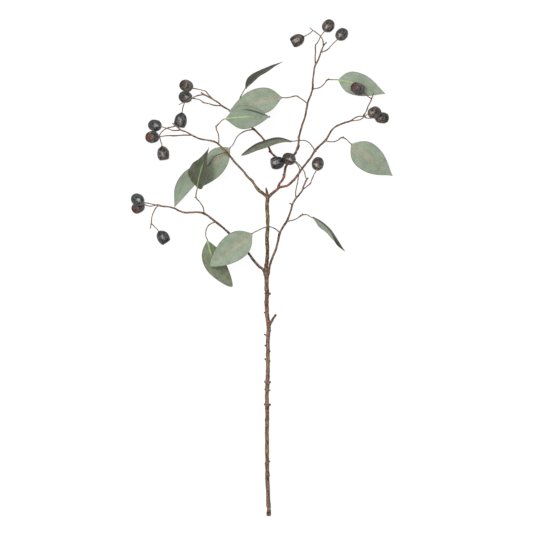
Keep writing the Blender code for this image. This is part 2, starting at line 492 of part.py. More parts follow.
def capsule(name, shape, material, collection):
    """A turned capsule: a narrow neck, a full belly and a shallow domed disc at its end."""
    profile = bmesh.new()
    points = []
    for along, out in CAPSULE_PROFILE:
        height = (0.5 - along) * capsule_length(shape)
        points.append(profile.verts.new((out * capsule_radius(shape) * MM, 0, height * MM)))
    for above, below in zip(points, points[1:]):
        profile.edges.new((above, below))
    mesh = bpy.data.meshes.new(name)
    profile.to_mesh(mesh)
    profile.free()
    source = bpy.data.objects.new(name, mesh)
    collection.objects.link(source)
    source.location = capsule_centre(shape) * MM
    source.rotation_euler = Vector(shape["axis"]).to_track_quat("Z", "Y").to_euler()
    turn = source.modifiers.new("turn", "SCREW")
    turn.steps = CAPSULE_STEPS
    turn.render_steps = CAPSULE_STEPS
    turn.use_merge_vertices = True
    turn.merge_threshold = WELD
    made = finished(source, name, collection)
    made.data.materials.append(material)
    made.data.shade_smooth()
    made.data.set_sharp_from_angle(angle=math.radians(40))
    return made


def joined(body, name, operation, tools, collection):
    """The body united with, or cut by, a collection's objects."""
    change = body.modifiers.new("join", "BOOLEAN")
    change.operation = operation
    change.operand_type = "COLLECTION"
    change.collection = tools
    change.solver = "EXACT"
    return finished(body, name, collection)


def table_block(collection):
    """A block under the table's level, which cuts a low point flat."""
    bpy.ops.mesh.primitive_cube_add(size=1)
    block = bpy.context.active_object
    block.name = "table_block"
    block.scale = (2, 2, 0.01)
    block.location = (0, 0, -0.005)
    for holder in list(block.users_collection):
        holder.objects.unlink(block)
    collection.objects.link(block)
    block.hide_render = True
    block.display_type = "WIRE"


def stem_solid(material, collection):
    """The stem, limbs, twigs, stalks and scars as one solid."""
    shoots = new_collection("shoots")
    for name, limb in LIMBS.items():
        rings = 2 if name.startswith(("stem", "limb")) else 1
        tube(name, limb["path"], *limb["radii"], rings, shoots)
    for name, stalk in LEAF_STALKS.items():
        start = leaf_direction(LEAVES[name], 0)
        base = Vector(LEAVES[name]["base"])
        path = list(stalk) + [tuple(base - start * STRAIGHT_RUN), tuple(base - start * GAP)]
        tube(name + "_stalk", path, *LEAF_STALK_RADII, 1, shoots)
    for name, shape in CAPSULES.items():
        axis = Vector(shape["axis"]).normalized()
        neck = capsule_neck(shape)
        path = list(shape["stalk"]) + [tuple(neck - axis * STRAIGHT_RUN), tuple(neck - axis * GAP)]
        tube(name + "_stalk", path, *CAPSULE_STALK_RADII, 1, shoots)
    for number, (height, reach, lean, radius) in enumerate(SCARS):
        foot = (STEM_MIDDLE_X, height, CUT_END_RADIUS + height * STEM_RISE)
        tip = (STEM_MIDDLE_X + reach, height + lean, foot[2] + SCAR_LIFT)
        tube("scar_%02d" % number, (foot, tip), radius * SCAR_FOOT, radius * SCAR_TOP, 1, shoots)
    for number, (foot, tip, radius) in enumerate(STUBS):
        tube("stub_%02d" % number, (foot, tip), radius, radius * SCAR_TOP, 1, shoots)
    core = shoots.objects["stem"]
    shoots.objects.unlink(core)
    collection.objects.link(core)
    made = joined(core, "stem", "UNION", shoots, collection)
    for shoot in list(shoots.objects):
        bpy.data.objects.remove(shoot, do_unlink=True)
    made.data.materials.append(material)
    made.data.shade_smooth()
    made.data.set_sharp_from_angle(angle=math.radians(60))
    return made


def stand_at_origin(parts, collection):
    """Hang every part on one empty, with the middle of the underside at the origin."""
    corners = []
    for part in parts:
        corners += [part.matrix_world @ vert.co for vert in part.data.vertices]
    low = Vector([min(corner[axis] for corner in corners) for axis in range(3)])
    high = Vector([max(corner[axis] for corner in corners) for axis in range(3)])
    holder = bpy.data.objects.new("eucalyptus_branch_origin", None)
    collection.objects.link(holder)
    holder.location = (-(low.x + high.x) / 2, -(low.y + high.y) / 2, -low.z)
    for part in parts:
        part.parent = holder


clear_scene()
branch = new_collection("eucalyptus_branch")
cutters = new_collection("cutters")
bark = principled("bark")
leaf_green = principled("leaf")
capsule_black = principled("capsule")

stem = stem_solid(bark, branch)
leaves = [leaf(name, shape, leaf_green, branch) for name, shape in LEAVES.items()]
capsules = [capsule(name, shape, capsule_black, branch) for name, shape in CAPSULES.items()]

table_block(cutters)
parts = []
for part in [stem] + leaves + capsules:
    if part == stem or CAPSULES.get(part.name, {}).get("low"):
        part = joined(part, part.name, "DIFFERENCE", cutters, branch)
    parts.append(part)
stand_at_origin(parts, branch)
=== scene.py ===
# A cut eucalyptus branch, laid down: one woody stem that forks into slender limbs, twelve
# grey-green leaves on thin stalks, and eighteen dark seed capsules at the twig ends. It lies on
# a white light panel and is seen from straight above.
import math

import bmesh
import bpy
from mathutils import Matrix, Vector, kdtree, noise


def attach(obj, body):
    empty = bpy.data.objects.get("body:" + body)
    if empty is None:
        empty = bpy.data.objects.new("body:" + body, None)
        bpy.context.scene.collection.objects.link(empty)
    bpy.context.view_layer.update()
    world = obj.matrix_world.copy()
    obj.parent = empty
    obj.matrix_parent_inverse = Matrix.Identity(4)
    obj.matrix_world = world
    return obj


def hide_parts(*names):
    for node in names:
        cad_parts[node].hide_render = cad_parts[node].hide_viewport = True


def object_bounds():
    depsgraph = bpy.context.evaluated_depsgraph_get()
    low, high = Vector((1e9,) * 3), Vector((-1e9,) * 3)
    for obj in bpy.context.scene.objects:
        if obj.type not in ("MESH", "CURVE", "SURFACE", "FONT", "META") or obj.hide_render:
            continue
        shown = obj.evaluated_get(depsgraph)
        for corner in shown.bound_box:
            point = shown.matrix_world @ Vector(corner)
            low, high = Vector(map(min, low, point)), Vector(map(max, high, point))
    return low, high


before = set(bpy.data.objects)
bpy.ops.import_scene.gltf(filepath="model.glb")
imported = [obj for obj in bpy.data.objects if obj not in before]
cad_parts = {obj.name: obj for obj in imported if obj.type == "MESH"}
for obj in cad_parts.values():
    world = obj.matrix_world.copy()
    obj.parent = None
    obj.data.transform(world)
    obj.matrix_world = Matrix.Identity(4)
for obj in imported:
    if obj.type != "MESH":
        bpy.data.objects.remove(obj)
cad_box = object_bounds()

# The twelve leaves. Each is one blade, thin and a little wavy, with a waxy grey-green bloom. Its
# midrib lies pinkish in a groove above and stands out as a yellow-green rib below. Its base
# grows on a thin stalk of the stem. Lengths are in millimetres, from the cut end.
MM = 0.001
BRANCH_MIDDLE = Vector((9.4201, -348.4389, 0))
LEAF_LENGTH_STEPS = 84
LEAF_CROSS_STEPS = 36
LEAF_ROW_CROWDING = 1.4
LEAF_OUTLINE_FULLNESS = 0.75
LEAF_SHOULDER = 0.3
LEAF_WEDGE = 0.65
LEAF_BASE_HALF = 0.9
LEAF_TIP_HALF = 0.35
LEAF_WAVE = 0.7
LEAF_WAVE_TURNS = 1.6
BOW_SKEW = 0.35
WIDEST_SHARE = 0.4
BLADE_THICKNESS = 0.55
MARGIN_THICKNESS = 0.35
RIB_THICKNESS = 1.7
RIB_HALF = 1.0
RIB_REACH = 0.5
GROOVE_DEPTH = 0.18
BUCKLE = 0.35
# Where a crease starts, turns and comes back, where painted shade along one side starts, and the
# side veins' spacing and slant; then how much paler the specks and veins are than the blade
CREASE_START = -0.55
CREASE_TURN = 0.1
CREASE_RETURN = 0.35
SHADE_START = 0.2
VEIN_SPACING = 4.6
VEIN_SLANT = 0.85
PALER = 1.28
# The pattern on a blade is measured from its base in tenths of a metre
PATTERN_SPAN = 100.0

# Base and tip, half width, roll about the length, fold of the two halves, how far the midrib
# bows to its left and up, and the blade's twist from base to tip (degrees). A roll near 180 shows
# the underside, one near 90 shows the leaf from its edge. A lower skew puts the widest place
# nearer the base, a higher point draws the tip in, up to its taper, and a curled blade drops
# behind a crease by that much.
LEAF_HABIT = dict(skew=0.75, point=0.35, taper=1, curl=0)
LEAVES = {
    "leaf_01": ((-32.5, 600, 34), (20, 636.8, 50), 18, -102, 4, 5, 0, 6, {}),
    "leaf_02": ((18.5, 586.5, 46), (-56, 567, 40), 18.5, -6, 8, -3, 5, 8, {}),
    "leaf_03": ((-60, 556.5, 56), (2.5, 560, 60), 17, 172, 10, 1.2, 4, -25, dict(skew=0.84,
        curl=4.2)),
    "leaf_04": ((97.9, 611.8, 34), (163.6, 593, 25), 16.3, 176, 7, 2, 2, 8, dict(skew=0.66)),
    "leaf_05": ((116, 522, 37), (174, 478, 22), 19.8, -4, 8, -0.8, 4, -6, dict(skew=0.69)),
    "leaf_06": ((32.7, 525.9, 46), (-38, 505.9, 47), 19, 73, 4, -5.8, 0, -10, dict(point=-0.1)),
    "leaf_07": ((-99.1, 461.3, 48), (-82.6, 517.2, 62), 21.8, 128, -14, 1.2, 4, -4, dict(skew=0.56,
        point=2.6, taper=0.3)),
    "leaf_08": ((-54, 517, 33), (-97, 461, 18), 19, 30, 6, -2.5, 3, 0, {}),
    "leaf_09": ((-88, 490, 33), (-132, 434, 16), 16, -45, 5, -9, 2, 0, {}),
    "leaf_10": ((-22.7, 396.7, 40), (-81.5, 351.5, 35), 19.5, -5, 8, -0.5, 4, 6, dict(point=0)),
    "leaf_11": ((-85.6, 387, 26), (-51, 322.5, 10), 16, 154, 8, -5, 3, -8, dict(point=-0.1)),
    "leaf_12": ((61.3, 419, 40), (106.8, 371.8, 30), 19, 82, 17, 6.2, 0, 32, dict(skew=0.95)),
}
LEAF_TRAITS = ("base", "tip", "half", "roll", "fold", "bow_left", "bow_up", "twist")
LEAVES = {name: LEAF_HABIT | dict(zip(LEAF_TRAITS, row)) | row[-1] for name, row in LEAVES.items()}


def leaf_frame(shape):
    """The leaf's length, its unit direction, and its left and up directions before the roll."""
    run = Vector(shape["tip"]) - Vector(shape["base"])
    along = run.normalized()
    left = Vector((0, 0, 1)).cross(along).normalized()
    return run.length, along, left, along.cross(left)


def leaf_midrib(shape, share):
    """The midrib's point at a share of the leaf's length."""
    length, along, left, up = leaf_frame(shape)
    bow = math.sin(math.pi * share) * (1 + BOW_SKEW * math.cos(math.pi * share))
    sideways = left * shape["bow_left"] + up * shape["bow_up"]
    return Vector(shape["base"]) + along * length * share + sideways * bow


def leaf_direction(shape, share):
    """The midrib's direction at a share of the leaf's length."""
    return (leaf_midrib(shape, share + 0.01) - leaf_midrib(shape, share - 0.01)).normalized()


def leaf_half_width(shape, share):
    """Half the blade's width at a share of its length."""
    shoulder = math.sin(math.pi * share ** shape["skew"])
    wedge = LEAF_WEDGE * max(1 - share / LEAF_SHOULDER, 0)
    wedge += shape["point"] * min(max(2 * share - 1, 0), shape["taper"])
    fullness = max(shoulder, 0) ** (LEAF_OUTLINE_FULLNESS + wedge)
    end_half = LEAF_BASE_HALF + (LEAF_TIP_HALF - LEAF_BASE_HALF) * share
    return end_half + (shape["half"] - end_half) * fullness


def crease_line(share):
    """How far across a curling blade its crease runs."""
    return 0.7 * max(share - 0.5, 0) + CREASE_START


def curled(share, across):
    """How far a blade that curls near its tip drops behind a crease along one margin."""
    past = crease_line(share) - across
    turn = min(max(past / CREASE_TURN, 0), 1)
    back = min(max((past - CREASE_TURN) / CREASE_RETURN, 0), 1)
    deep = min(max((share - 0.3) / 0.4, 0), 1)
    return (turn * turn * (3 - 2 * turn) - 0.6 * back) * deep


def crease_shade(share, across):
    """How dark the painted shade in the crease is: widening towards the tip, from 0 to 1."""
    past = crease_line(share) - across
    wide = 0.06 + 0.55 * max(share - 0.45, 0)
    return max(1.4 - 1.4 * abs(past - wide) / wide, 0) * min(max((share - 0.25) / 0.3, 0), 1)


def leaf_surface(shape, share, across):
    """The upper side's point at a share of the length, across from -1 to 1, and its reach."""
    along = leaf_direction(shape, share)
    left = leaf_frame(shape)[2]
    left = (left - along * left.dot(along)).normalized()
    up = along.cross(left)
    roll = math.radians(shape["roll"] + shape["twist"] * (share - WIDEST_SHARE))
    side = left * math.cos(roll) + up * math.sin(roll)
    face = up * math.cos(roll) - left * math.sin(roll)
    reach = leaf_half_width(shape, share) * across
    fold = math.radians(shape["fold"])
    inner = math.sin(math.pi * share)
    wave = math.sin(2 * math.pi * LEAF_WAVE_TURNS * share + shape["half"]) * LEAF_WAVE
    lift = abs(reach) * math.sin(fold) + wave * across ** 2 * inner
    lift += BUCKLE * inner * noise.noise(Vector((share * 5, across * 2.2, shape["half"] * 3)))
    lift -= GROOVE_DEPTH * math.exp(-(reach / RIB_HALF) ** 2) * (1 - share)
    lift += shape["curl"] * curled(share, across)
    return leaf_midrib(shape, share) + side * reach * math.cos(fold) + face * lift, reach


def add_node(tree, kind, inputs=None, **settings):
    """A node with its settings, and each input either linked or set."""
    node = tree.nodes.new(kind)
    for name, value in settings.items():
        setattr(node, name, value)
    for name, value in (inputs or {}).items():
        if isinstance(value, bpy.types.NodeSocket):
            tree.links.new(value, node.inputs[name])
        else:
            node.inputs[name].default_value = value
    return node


def sum_of(tree, operation, *values):
    """One arithmetic step on sockets and plain numbers."""
    inputs = dict(enumerate(values))
    return add_node(tree, "ShaderNodeMath", inputs, operation=operation).outputs[0]


def times(tree, *values):
    """Two sockets or plain numbers multiplied."""
    return sum_of(tree, "MULTIPLY", *values)


def carried(tree, name, output="Fac"):
    """A number, direction or colour that the mesh carries at its points."""
    return add_node(tree, "ShaderNodeAttribute", attribute_name=name).outputs[output]


def fade(tree, value, low, high):
    """0 at low rising smoothly to 1 at high, or falling where low is the larger."""
    start, end = (0.0, 1.0) if low < high else (1.0, 0.0)
    inputs = {"Value": value, "From Min": min(low, high), "From Max": max(low, high)}
    inputs |= {"To Min": start, "To Max": end}
    return add_node(tree, "ShaderNodeMapRange", inputs, interpolation_type="SMOOTHSTEP").outputs[0]


def blended(tree, factor, below, above, blend="MIX"):
    """Two colours mixed by a factor."""
    # A mix node's sockets: the factor is the first, the two colours the seventh and eighth
    inputs = {0: factor, 6: below, 7: above}
    inputs = {at: (*value, 1.0) if isinstance(value, tuple) else value
              for at, value in inputs.items()}
    return add_node(tree, "ShaderNodeMix", inputs, data_type="RGBA", blend_type=blend).outputs[2]


def patched(tree, colour, pattern, low, high, amount, tint, blend="MIX"):
    """A colour with a tint laid on where a pattern rises from low to high."""
    return blended(tree, times(tree, fade(tree, pattern, low, high), amount), colour, tint, blend)


def raised(tree, shader, relief, strength, depth):
    """Fine relief on a finish, of a depth in metres."""
    inputs = {"Height": relief, "Strength": strength, "Distance": depth}
    bump = add_node(tree, "ShaderNodeBump", inputs)
    tree.links.new(bump.outputs[0], shader.inputs["Normal"])


def cloud(tree, place, scale, detail, stretch=(1, 1, 1)):
    """Soft mottling between 0 and 1, stretched by a share along each direction."""
    turned = add_node(tree, "ShaderNodeMapping", {"Vector": place, "Scale": stretch})
    inputs = {"Vector": turned.outputs[0], "Scale": scale, "Detail": detail, "Roughness": 0.6}
    return add_node(tree, "ShaderNodeTexNoise", inputs).outputs["Fac"]


def finish(name, roughness, specular):
    """A new material, its node tree and its shader."""
    made = bpy.data.materials.new(name)
    made.use_nodes = True
    shader = made.node_tree.nodes["Principled BSDF"]
    shader.inputs["Roughness"].default_value = roughness
    shader.inputs["Specular IOR Level"].default_value = specular
    return made, made.node_tree, shader


def blade_finish(name, blade, deep, rib, rib_half, rib_reach, rib_strength, even, vein, streak):
    """One side of a blade: mottled bloom, faint side veins, the midrib's own colour and painted
    shade.
    """
    made, tree, shader = finish(name, 0.62, 0.2)
    place = add_node(tree, "ShaderNodeUVMap", uv_map="UVMap").outputs[0]
    parted = add_node(tree, "ShaderNodeSeparateXYZ", {0: place})
    along = times(tree, parted.outputs["X"], PATTERN_SPAN)
    offset = sum_of(tree, "SUBTRACT", parted.outputs["Y"], 0.5)
    reach = times(tree, sum_of(tree, "ABSOLUTE", offset), PATTERN_SPAN)
    margin = carried(tree, "margin")
    body = cloud(tree, place, 11, 4)
    grain = cloud(tree, place, 34, 3, (0.2, 1, 1))
    specks = cloud(tree, place, 60, 3)
    colour = blended(tree, fade(tree, body, 0.36, 0.68), blade, deep)
    colour = patched(tree, colour, grain, 0.45, 0.72, streak, tuple(tone * 0.62 for tone in deep))
    pale = tuple(min(1, tone * PALER + 0.02) for tone in blade)
    colour = patched(tree, colour, specks, 0.5, 0.75, 0.4, pale)
    arch = times(tree, reach, VEIN_SLANT)
    wander = times(tree, body, 5.0)
    phase = sum_of(tree, "ADD", sum_of(tree, "SUBTRACT", along, arch), wander)
    turn = sum_of(tree, "SINE", times(tree, phase, math.pi / VEIN_SPACING))
    veins = fade(tree, sum_of(tree, "ABSOLUTE", turn), 0.2, 0.02)
    veins = times(tree, veins, fade(tree, margin, 0.95, 0.6))
    colour = blended(tree, times(tree, veins, vein), colour, pale)
    narrowing = times(tree, along, -0.5 * rib_half / rib_reach)
    rib_width = sum_of(tree, "MAXIMUM", sum_of(tree, "ADD", narrowing, rib_half * 1.2), 0.3)
    ribbed = times(tree, fade(tree, sum_of(tree, "DIVIDE", reach, rib_width), 1.2, 0.5),
                   fade(tree, along, rib_reach, rib_reach * 0.6))
    patchy = sum_of(tree, "ADD", fade(tree, cloud(tree, place, 26, 4), 0.42, 0.6), even)
    ribbed = sum_of(tree, "MINIMUM", times(tree, ribbed, patchy), rib_strength)
    colour = blended(tree, ribbed, colour, rib)
    crease = carried(tree, "crease")
    # The blade's own darker margin, and painted shade along a crease or one side of the leaf
    rim = times(tree, fade(tree, margin, 0.92, 0.99), 0.6)
    rim = sum_of(tree, "MAXIMUM", rim, times(tree, fade(tree, crease, 0, 0.8), 0.9))
    colour = blended(tree, rim, colour, tuple(tone * 0.35 for tone in deep))
    tree.links.new(colour, shader.inputs["Base Color"])
    relief = sum_of(tree, "ADD", times(tree, veins, 0.6), times(tree, grain, 0.5))
    raised(tree, shader, relief, 0.25, 0.0004)
    return made


def rim_finish():
    """The blade's cut-thin edge, a little browner than its sides."""
    made, tree, shader = finish("leaf_rim", 0.6, 0.3)
    place = add_node(tree, "ShaderNodeTexCoord").outputs["Object"]
    colour = blended(tree, cloud(tree, place, 240, 3), (0.11, 0.12, 0.075), (0.22, 0.17, 0.12))
    tree.links.new(colour, shader.inputs["Base Color"])
    return made


# Colours of the blade, its deeper clouds and its rib; the rib's half width, reach and strength and
# how even it is; how far the side veins and the fine streaks show
# Besides plain sage: a lighter copy as painted light, a darker one as painted shade
UPPER_SIDES = {
    "sage": ((0.26, 0.305, 0.225), (0.2, 0.245, 0.18),
        (0.4, 0.3, 0.23), 3.4, 62, 0.42, 0.0, 0.4, 0.25),
    "painted_light": ((0.32, 0.38, 0.28), (0.26, 0.32, 0.233),
        (0.4, 0.31, 0.225), 1.5, 44, 0.45, 0.15, 0.35, 0.25),
    "painted_shade_dusk": ((0.185, 0.197, 0.138), (0.125, 0.134, 0.09),
        (0.24, 0.2, 0.15), 1.2, 30, 0.4, 0.3, 0.25, 0.8),
}
# Besides plain sage: one lighter copy as painted light, three darker ones as painted shade
UNDER_SIDES = {
    "sage": ((0.215, 0.255, 0.19), (0.175, 0.215, 0.155),
        (0.3, 0.42, 0.2), 1.15, 42, 0.95, 0.8, 0.25, 0.3),
    "pale": ((0.265, 0.31, 0.23), (0.215, 0.26, 0.19),
        (0.34, 0.46, 0.22), 1.15, 30, 0.95, 0.8, 0.3, 0.2),
    "olive": ((0.1, 0.105, 0.07), (0.06, 0.065, 0.042),
        (0.22, 0.33, 0.13), 1.25, 42, 0.95, 0.8, 0.2, 0.8),
    "painted_shade_moss": ((0.2, 0.225, 0.15), (0.14, 0.16, 0.1),
        (0.29, 0.41, 0.18), 1.25, 26, 0.95, 0.8, 0.2, 0.6),
    "painted_shade_dusk": ((0.1, 0.107, 0.074), (0.062, 0.067, 0.045),
        (0.2, 0.26, 0.12), 1.2, 12, 0.8, 0.8, 0.2, 0.5),
}
# The finishes of a leaf's upper side and underside, where they aren't both plain sage
LEAF_SIDES = {
    "leaf_01": ("painted_shade_dusk", "painted_shade_dusk"),
    "leaf_04": ("sage", "pale"),
    "leaf_06": ("painted_shade_dusk", "painted_shade_dusk"),
    "leaf_07": ("sage", "olive"),
    "leaf_09": ("painted_light", "sage"),
    "leaf_11": ("sage", "painted_shade_moss"),
    "leaf_12": ("painted_light", "painted_shade_dusk"),
}
# Which side of a leaf gets painted shade along its edge
SHADED_SIDES = {"leaf_06": -1, "leaf_12": 1}
LEAF_RIM = rim_finish()


def keep_pattern(mesh, name, kind, values):
    """Keep a number, direction or colour with every point of a mesh, for its finish to follow."""
    kept = mesh.attributes.new(name, kind, "POINT")
    field = {"FLOAT": "value", "FLOAT_VECTOR": "vector", "FLOAT_COLOR": "color"}[kind]
    flat = values if kind == "FLOAT" else [part for value in values for part in value]
    kept.data.foreach_set(field, flat)


def leaf(name, shape, upper, under):
    """A fine grid laid on the leaf's surface, given its thickness and midrib below."""
    bpy.ops.object.select_all(action="DESELECT")
    bpy.ops.mesh.primitive_grid_add(
        x_subdivisions=LEAF_LENGTH_STEPS, y_subdivisions=LEAF_CROSS_STEPS, size=1)
    blade = bpy.context.active_object
    blade.name = blade.data.name = name + "_blade"
    thickness = blade.vertex_groups.new(name="thickness")
    length = leaf_frame(shape)[0]
    pattern = []
    margins = []
    painted_shades = []
    shaded = SHADED_SIDES.get(name, 0)
    for vert in blade.data.vertices:
        step = vert.co.x + 0.5
        share = 0.5 * step + 0.25 * (1 - math.cos(math.pi * step))
        share = min(max(share, 0), 1)
        row = 2 * vert.co.y
        across = math.copysign(abs(row) ** LEAF_ROW_CROWDING, row)
        point, reach = leaf_surface(shape, share, across)
        vert.co = (point + BRANCH_MIDDLE) * MM
        rib = math.exp(-(reach / RIB_HALF) ** 2) * max(1 - share / RIB_REACH, 0)
        thin = BLADE_THICKNESS + (MARGIN_THICKNESS - BLADE_THICKNESS) * abs(across) ** 4
        thick = (thin + (RIB_THICKNESS - thin) * rib) / RIB_THICKNESS
        thickness.add([vert.index], thick, "REPLACE")
        margins.append(abs(across))
        # Painted shade: in a curled blade's crease, or along the side of a leaf turned from the
        # light
        shade = crease_shade(share, across) if shape["curl"] else (across * shaded - SHADE_START) * 1.6
        painted_shades.append(min(max(shade, 0), 1))
        pattern.append((share * length / PATTERN_SPAN, 0.5 + reach / PATTERN_SPAN))
    for loop in blade.data.loops:
        blade.data.uv_layers.active.data[loop.index].uv = pattern[loop.vertex_index]
    keep_pattern(blade.data, "margin", "FLOAT", margins)
    keep_pattern(blade.data, "crease", "FLOAT", painted_shades)
    for material in (upper, under, LEAF_RIM):
        blade.data.materials.append(material)
    solid = blade.modifiers.new("blade", "SOLIDIFY")
    solid.thickness = RIB_THICKNESS * MM
    solid.offset = -1
    solid.vertex_group = "thickness"
    solid.material_offset = 1
    solid.material_offset_rim = 2
    bpy.ops.object.modifier_apply(modifier=solid.name)
    bpy.ops.object.shade_smooth_by_angle(angle=math.radians(60))
    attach(blade, "root")
    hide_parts(name)


uppers = {side: blade_finish("leaf_upper_" + side, *look) for side, look in UPPER_SIDES.items()}
unders = {side: blade_finish("leaf_under_" + side, *look) for side, look in UNDER_SIDES.items()}
for name, shape in LEAVES.items():
    upper, under = LEAF_SIDES.get(name, ("sage", "sage"))
    leaf(name, shape, uppers[upper], unders[under])

# The eighteen seed capsules. Each is a hard, woody pod the shape of a spinning top, dark brown
# and charcoal with a dusty bloom, and ends in a shallow disc with its seed slits. Its narrow
# neck grows on a thin stalk. Shares of the length run from the disc to the neck.
CAPSULE_HABIT = dict(length=19.5, radius=8.5, low=False)
CAPSULE_SEGMENTS = 48
CAPSULE_RINGS = 40
FLAT_DEPTH = 0.45
CAPSULE_PROFILE = (
    (0.03, 0), (0.01, 0.5), (0, 0.68), (0.035, 0.8), (0.2, 0.95), (0.4, 1), (0.62, 0.94),
    (0.8, 0.75), (0.92, 0.46), (1, 0.16), (1, 0),
)
DISC_SHARE = 0.22
SLIT_DEPTH = 0.6
SLIT_START = 0.86
DENT_DEPTH = 0.05
RIDGES = ((5, 1, 0.018), (9, 2, 0.012))
# Centre, the direction from the stalk to the disc end, and the path of the thin stalk that
# carries each. A capsule marked low lies on the table.
CAPSULES = {
    "capsule_01": ((41.1, 667.8, 38), (-0.88, -0.47, 0), ((62.4, 681, 41.5),
        (56.3, 675.8, 40)), {}),
    "capsule_02": ((83.1, 686.8, 31), (0.35, 0.53, -0.78), ((65.9, 660.6, 39), (68.8, 664.2, 38.5),
        (73.3, 673.2, 39)), {}),
    "capsule_03": ((101.9, 675, 30), (0.39, 0.49, -0.78), ((84, 655.3, 40.5),
        (88.5, 660.6, 40)), {}),
    "capsule_04": ((125.6, 598.5, 43), (-0.62, 0.36, 0.69), ((144, 585.3, 36),
        (138.5, 589.5, 35)), {}),
    "capsule_05": ((147.5, 566.3, 25.9), (0.61, 0.15, -0.78), ((134, 561, 24),
        (136.9, 562.7, 29.5)), {}),
    "capsule_06": ((158, 559.6, 0), (0.85, 0, -0.5), ((134, 560.6, 23.5), (137, 559.4, 20.5),
        (143, 558.9, 15)), dict(low=True, radius=7.9)),
    "capsule_07": ((13.3, 495.6, 51), (-0.97, -0.15, 0.15), ((38.8, 494.8, 46.5),
        (33, 497.5, 47.5), (28, 498.4, 48.5)), dict(radius=9)),
    "capsule_08": ((29.7, 500.3, 62), (-0.58, 0.25, -0.78), ((46.4, 488.6, 46), (43.2, 492.1, 55),
        (39.8, 495.5, 65)), {}),
    "capsule_09": ((68.5, 493.1, 44), (0.14, 0.61, -0.78), ((58.8, 467.2, 46.5), (60.4, 471.8, 48),
        (63.5, 478.8, 51)), {}),
    "capsule_10": ((-114, 603.3, 33), (-0.6, 0.2, 0.78), ((-88.2, 596.2, 31), (-93.6, 597.8, 29),
        (-99.8, 599.5, 25.5)), {}),
    "capsule_11": ((-115.5, 588.4, 19), (-0.61, 0.15, -0.78), ((-92, 581, 28), (-95.9, 584, 28),
        (-102.9, 585.9, 28)), {}),
    "capsule_12": ((-123.2, 556.5, 18), (-0.17, -0.98, 0.05), ((-117.6, 580.7, 31.5),
        (-119.3, 576, 25), (-120.6, 571.8, 20)), dict(radius=8.75, length=21)),
    "capsule_13": ((-158.6, 548.7, 0), (-0.62, 0.13, -0.78), ((-137.2, 542.5, 21.5),
        (-143, 544.8, 20.3)), dict(low=True)),
    "capsule_14": ((-161.9, 532.3, 20), (-0.63, -0.02, 0.78), ((-143.4, 544.5, 23),
        (-149, 540.5, 16.5), (-152.6, 536.2, 11.5)), {}),
    "capsule_15": ((-148, 510.3, 14), (0.16, -0.98, 0.1), ((-152.7, 532.7, 24),
        (-151.8, 528.5, 20), (-150.6, 524.5, 15)), {}),
    "capsule_16": ((-182.3, 443.8, 31.6), (-0.57, 0.27, -0.78), ((-158.9, 437.4, 25),
        (-165, 438.5, 34), (-171, 439.7, 40)), {}),
    "capsule_17": ((-182.2, 434.7, 13), (-0.49, -0.4, 0.78), ((-157.5, 436.7, 24),
        (-167.9, 435.6, 11.5), (-173.5, 437.6, 5.5)), {}),
    "capsule_18": ((-148.7, 392.3, 14), (0.57, -0.82, 0.05), ((-164.1, 411, 18),
        (-159.8, 406.2, 15.5)), {}),
}
CAPSULES = {name: CAPSULE_HABIT | dict(zip(("centre", "axis", "stalk"), row)) | row[-1]
            for name, row in CAPSULES.items()}
# The share of painted top light (bloom and shine) left where a capsule's skin turns away from
# above, so its sides are painted dark as shade
TOP_LIGHT_ON_SIDES = 0.18
BROWN_CAPSULES = (1, 2, 5, 6, 8, 9, 10, 15)
RUDDY_CAPSULES = (4, 14, 17)


def capsule_centre(shape):
    """The capsule's centre, let down to the table where it is a low one."""
    centre = Vector(shape["centre"])
    if not shape["low"]:
        return centre
    axis = Vector(shape["axis"]).normalized()
    upright = math.sqrt(1 - axis.z ** 2)
    depths = []
    for along, out in CAPSULE_PROFILE:
        height = (0.5 - along) * shape["length"] * axis.z
        depths.append(out * shape["radius"] * upright - height)
    centre.z = max(depths) - FLAT_DEPTH
    return centre


def capsule_neck(shape):
    """The point where the capsule meets its stalk."""
    axis = Vector(shape["axis"]).normalized()
    return capsule_centre(shape) - axis * shape["length"] / 2


def profile_at(share):
    """The profile's place along and out, smoothed through its points, from disc to neck."""
    last = len(CAPSULE_PROFILE) - 1
    step = min(int(share * last), last - 1)
    part = share * last - step
    around = [Vector(CAPSULE_PROFILE[min(max(step + shift, 0), last)]) for shift in (-1, 0, 1, 2)]
    before, start, end, after = around
    bend = (before - start * 2.5 + end * 2 - after * 0.5) * part ** 2
    turn = (start * 1.5 - before * 0.5 - end * 1.5 + after * 0.5) * part ** 3
    along, out = start + (end - before) * 0.5 * part + bend + turn
    return min(max(along, 0), 1), max(out, 0)


def capsule_finish(name, shell, dusty, patch, disc):
    """A dark woody shell with lengthwise streaks, a dusty bloom, a disc of its own tint, and
    painted top light.
    """
    made, tree, shader = finish(name, 0.3, 0.55)
    place = carried(tree, "grain", "Vector")
    opened = carried(tree, "disc")
    painted_top_light = carried(tree, "painted_top_light")
    streaks = cloud(tree, place, 0.32, 4, (1, 1, 0.6))
    patches = cloud(tree, place, 0.2, 3)
    flecks = cloud(tree, place, 0.38, 4)
    # Bloom and flecks are painted on mostly where the skin faces up, as painted top light
    colour = blended(tree, times(tree, fade(tree, streaks, 0.44, 0.6), painted_top_light), shell, dusty)
    colour = patched(tree, colour, patches, 0.47, 0.6, 0.7, patch)
    flecked = times(tree, fade(tree, flecks, 0.52, 0.62), painted_top_light)
    colour = blended(tree, times(tree, flecked, 0.8), colour, tuple(tone * 2.2 for tone in dusty))
    colour = patched(tree, colour, flecks, 0.36, 0.6, opened, disc)
    tree.links.new(colour, shader.inputs["Base Color"])
    dull = sum_of(tree, "ADD", times(tree, streaks, 0.3), 0.17)
    tree.links.new(dull, shader.inputs["Roughness"])
    # The shine also follows the painted top light, strongest where the skin faces up
    tree.links.new(times(tree, painted_top_light, 0.85), shader.inputs["Specular IOR Level"])
    relief = sum_of(tree, "ADD", streaks, times(tree, flecks, 0.6))
    raised(tree, shader, relief, 0.5, 0.0009)
    return made


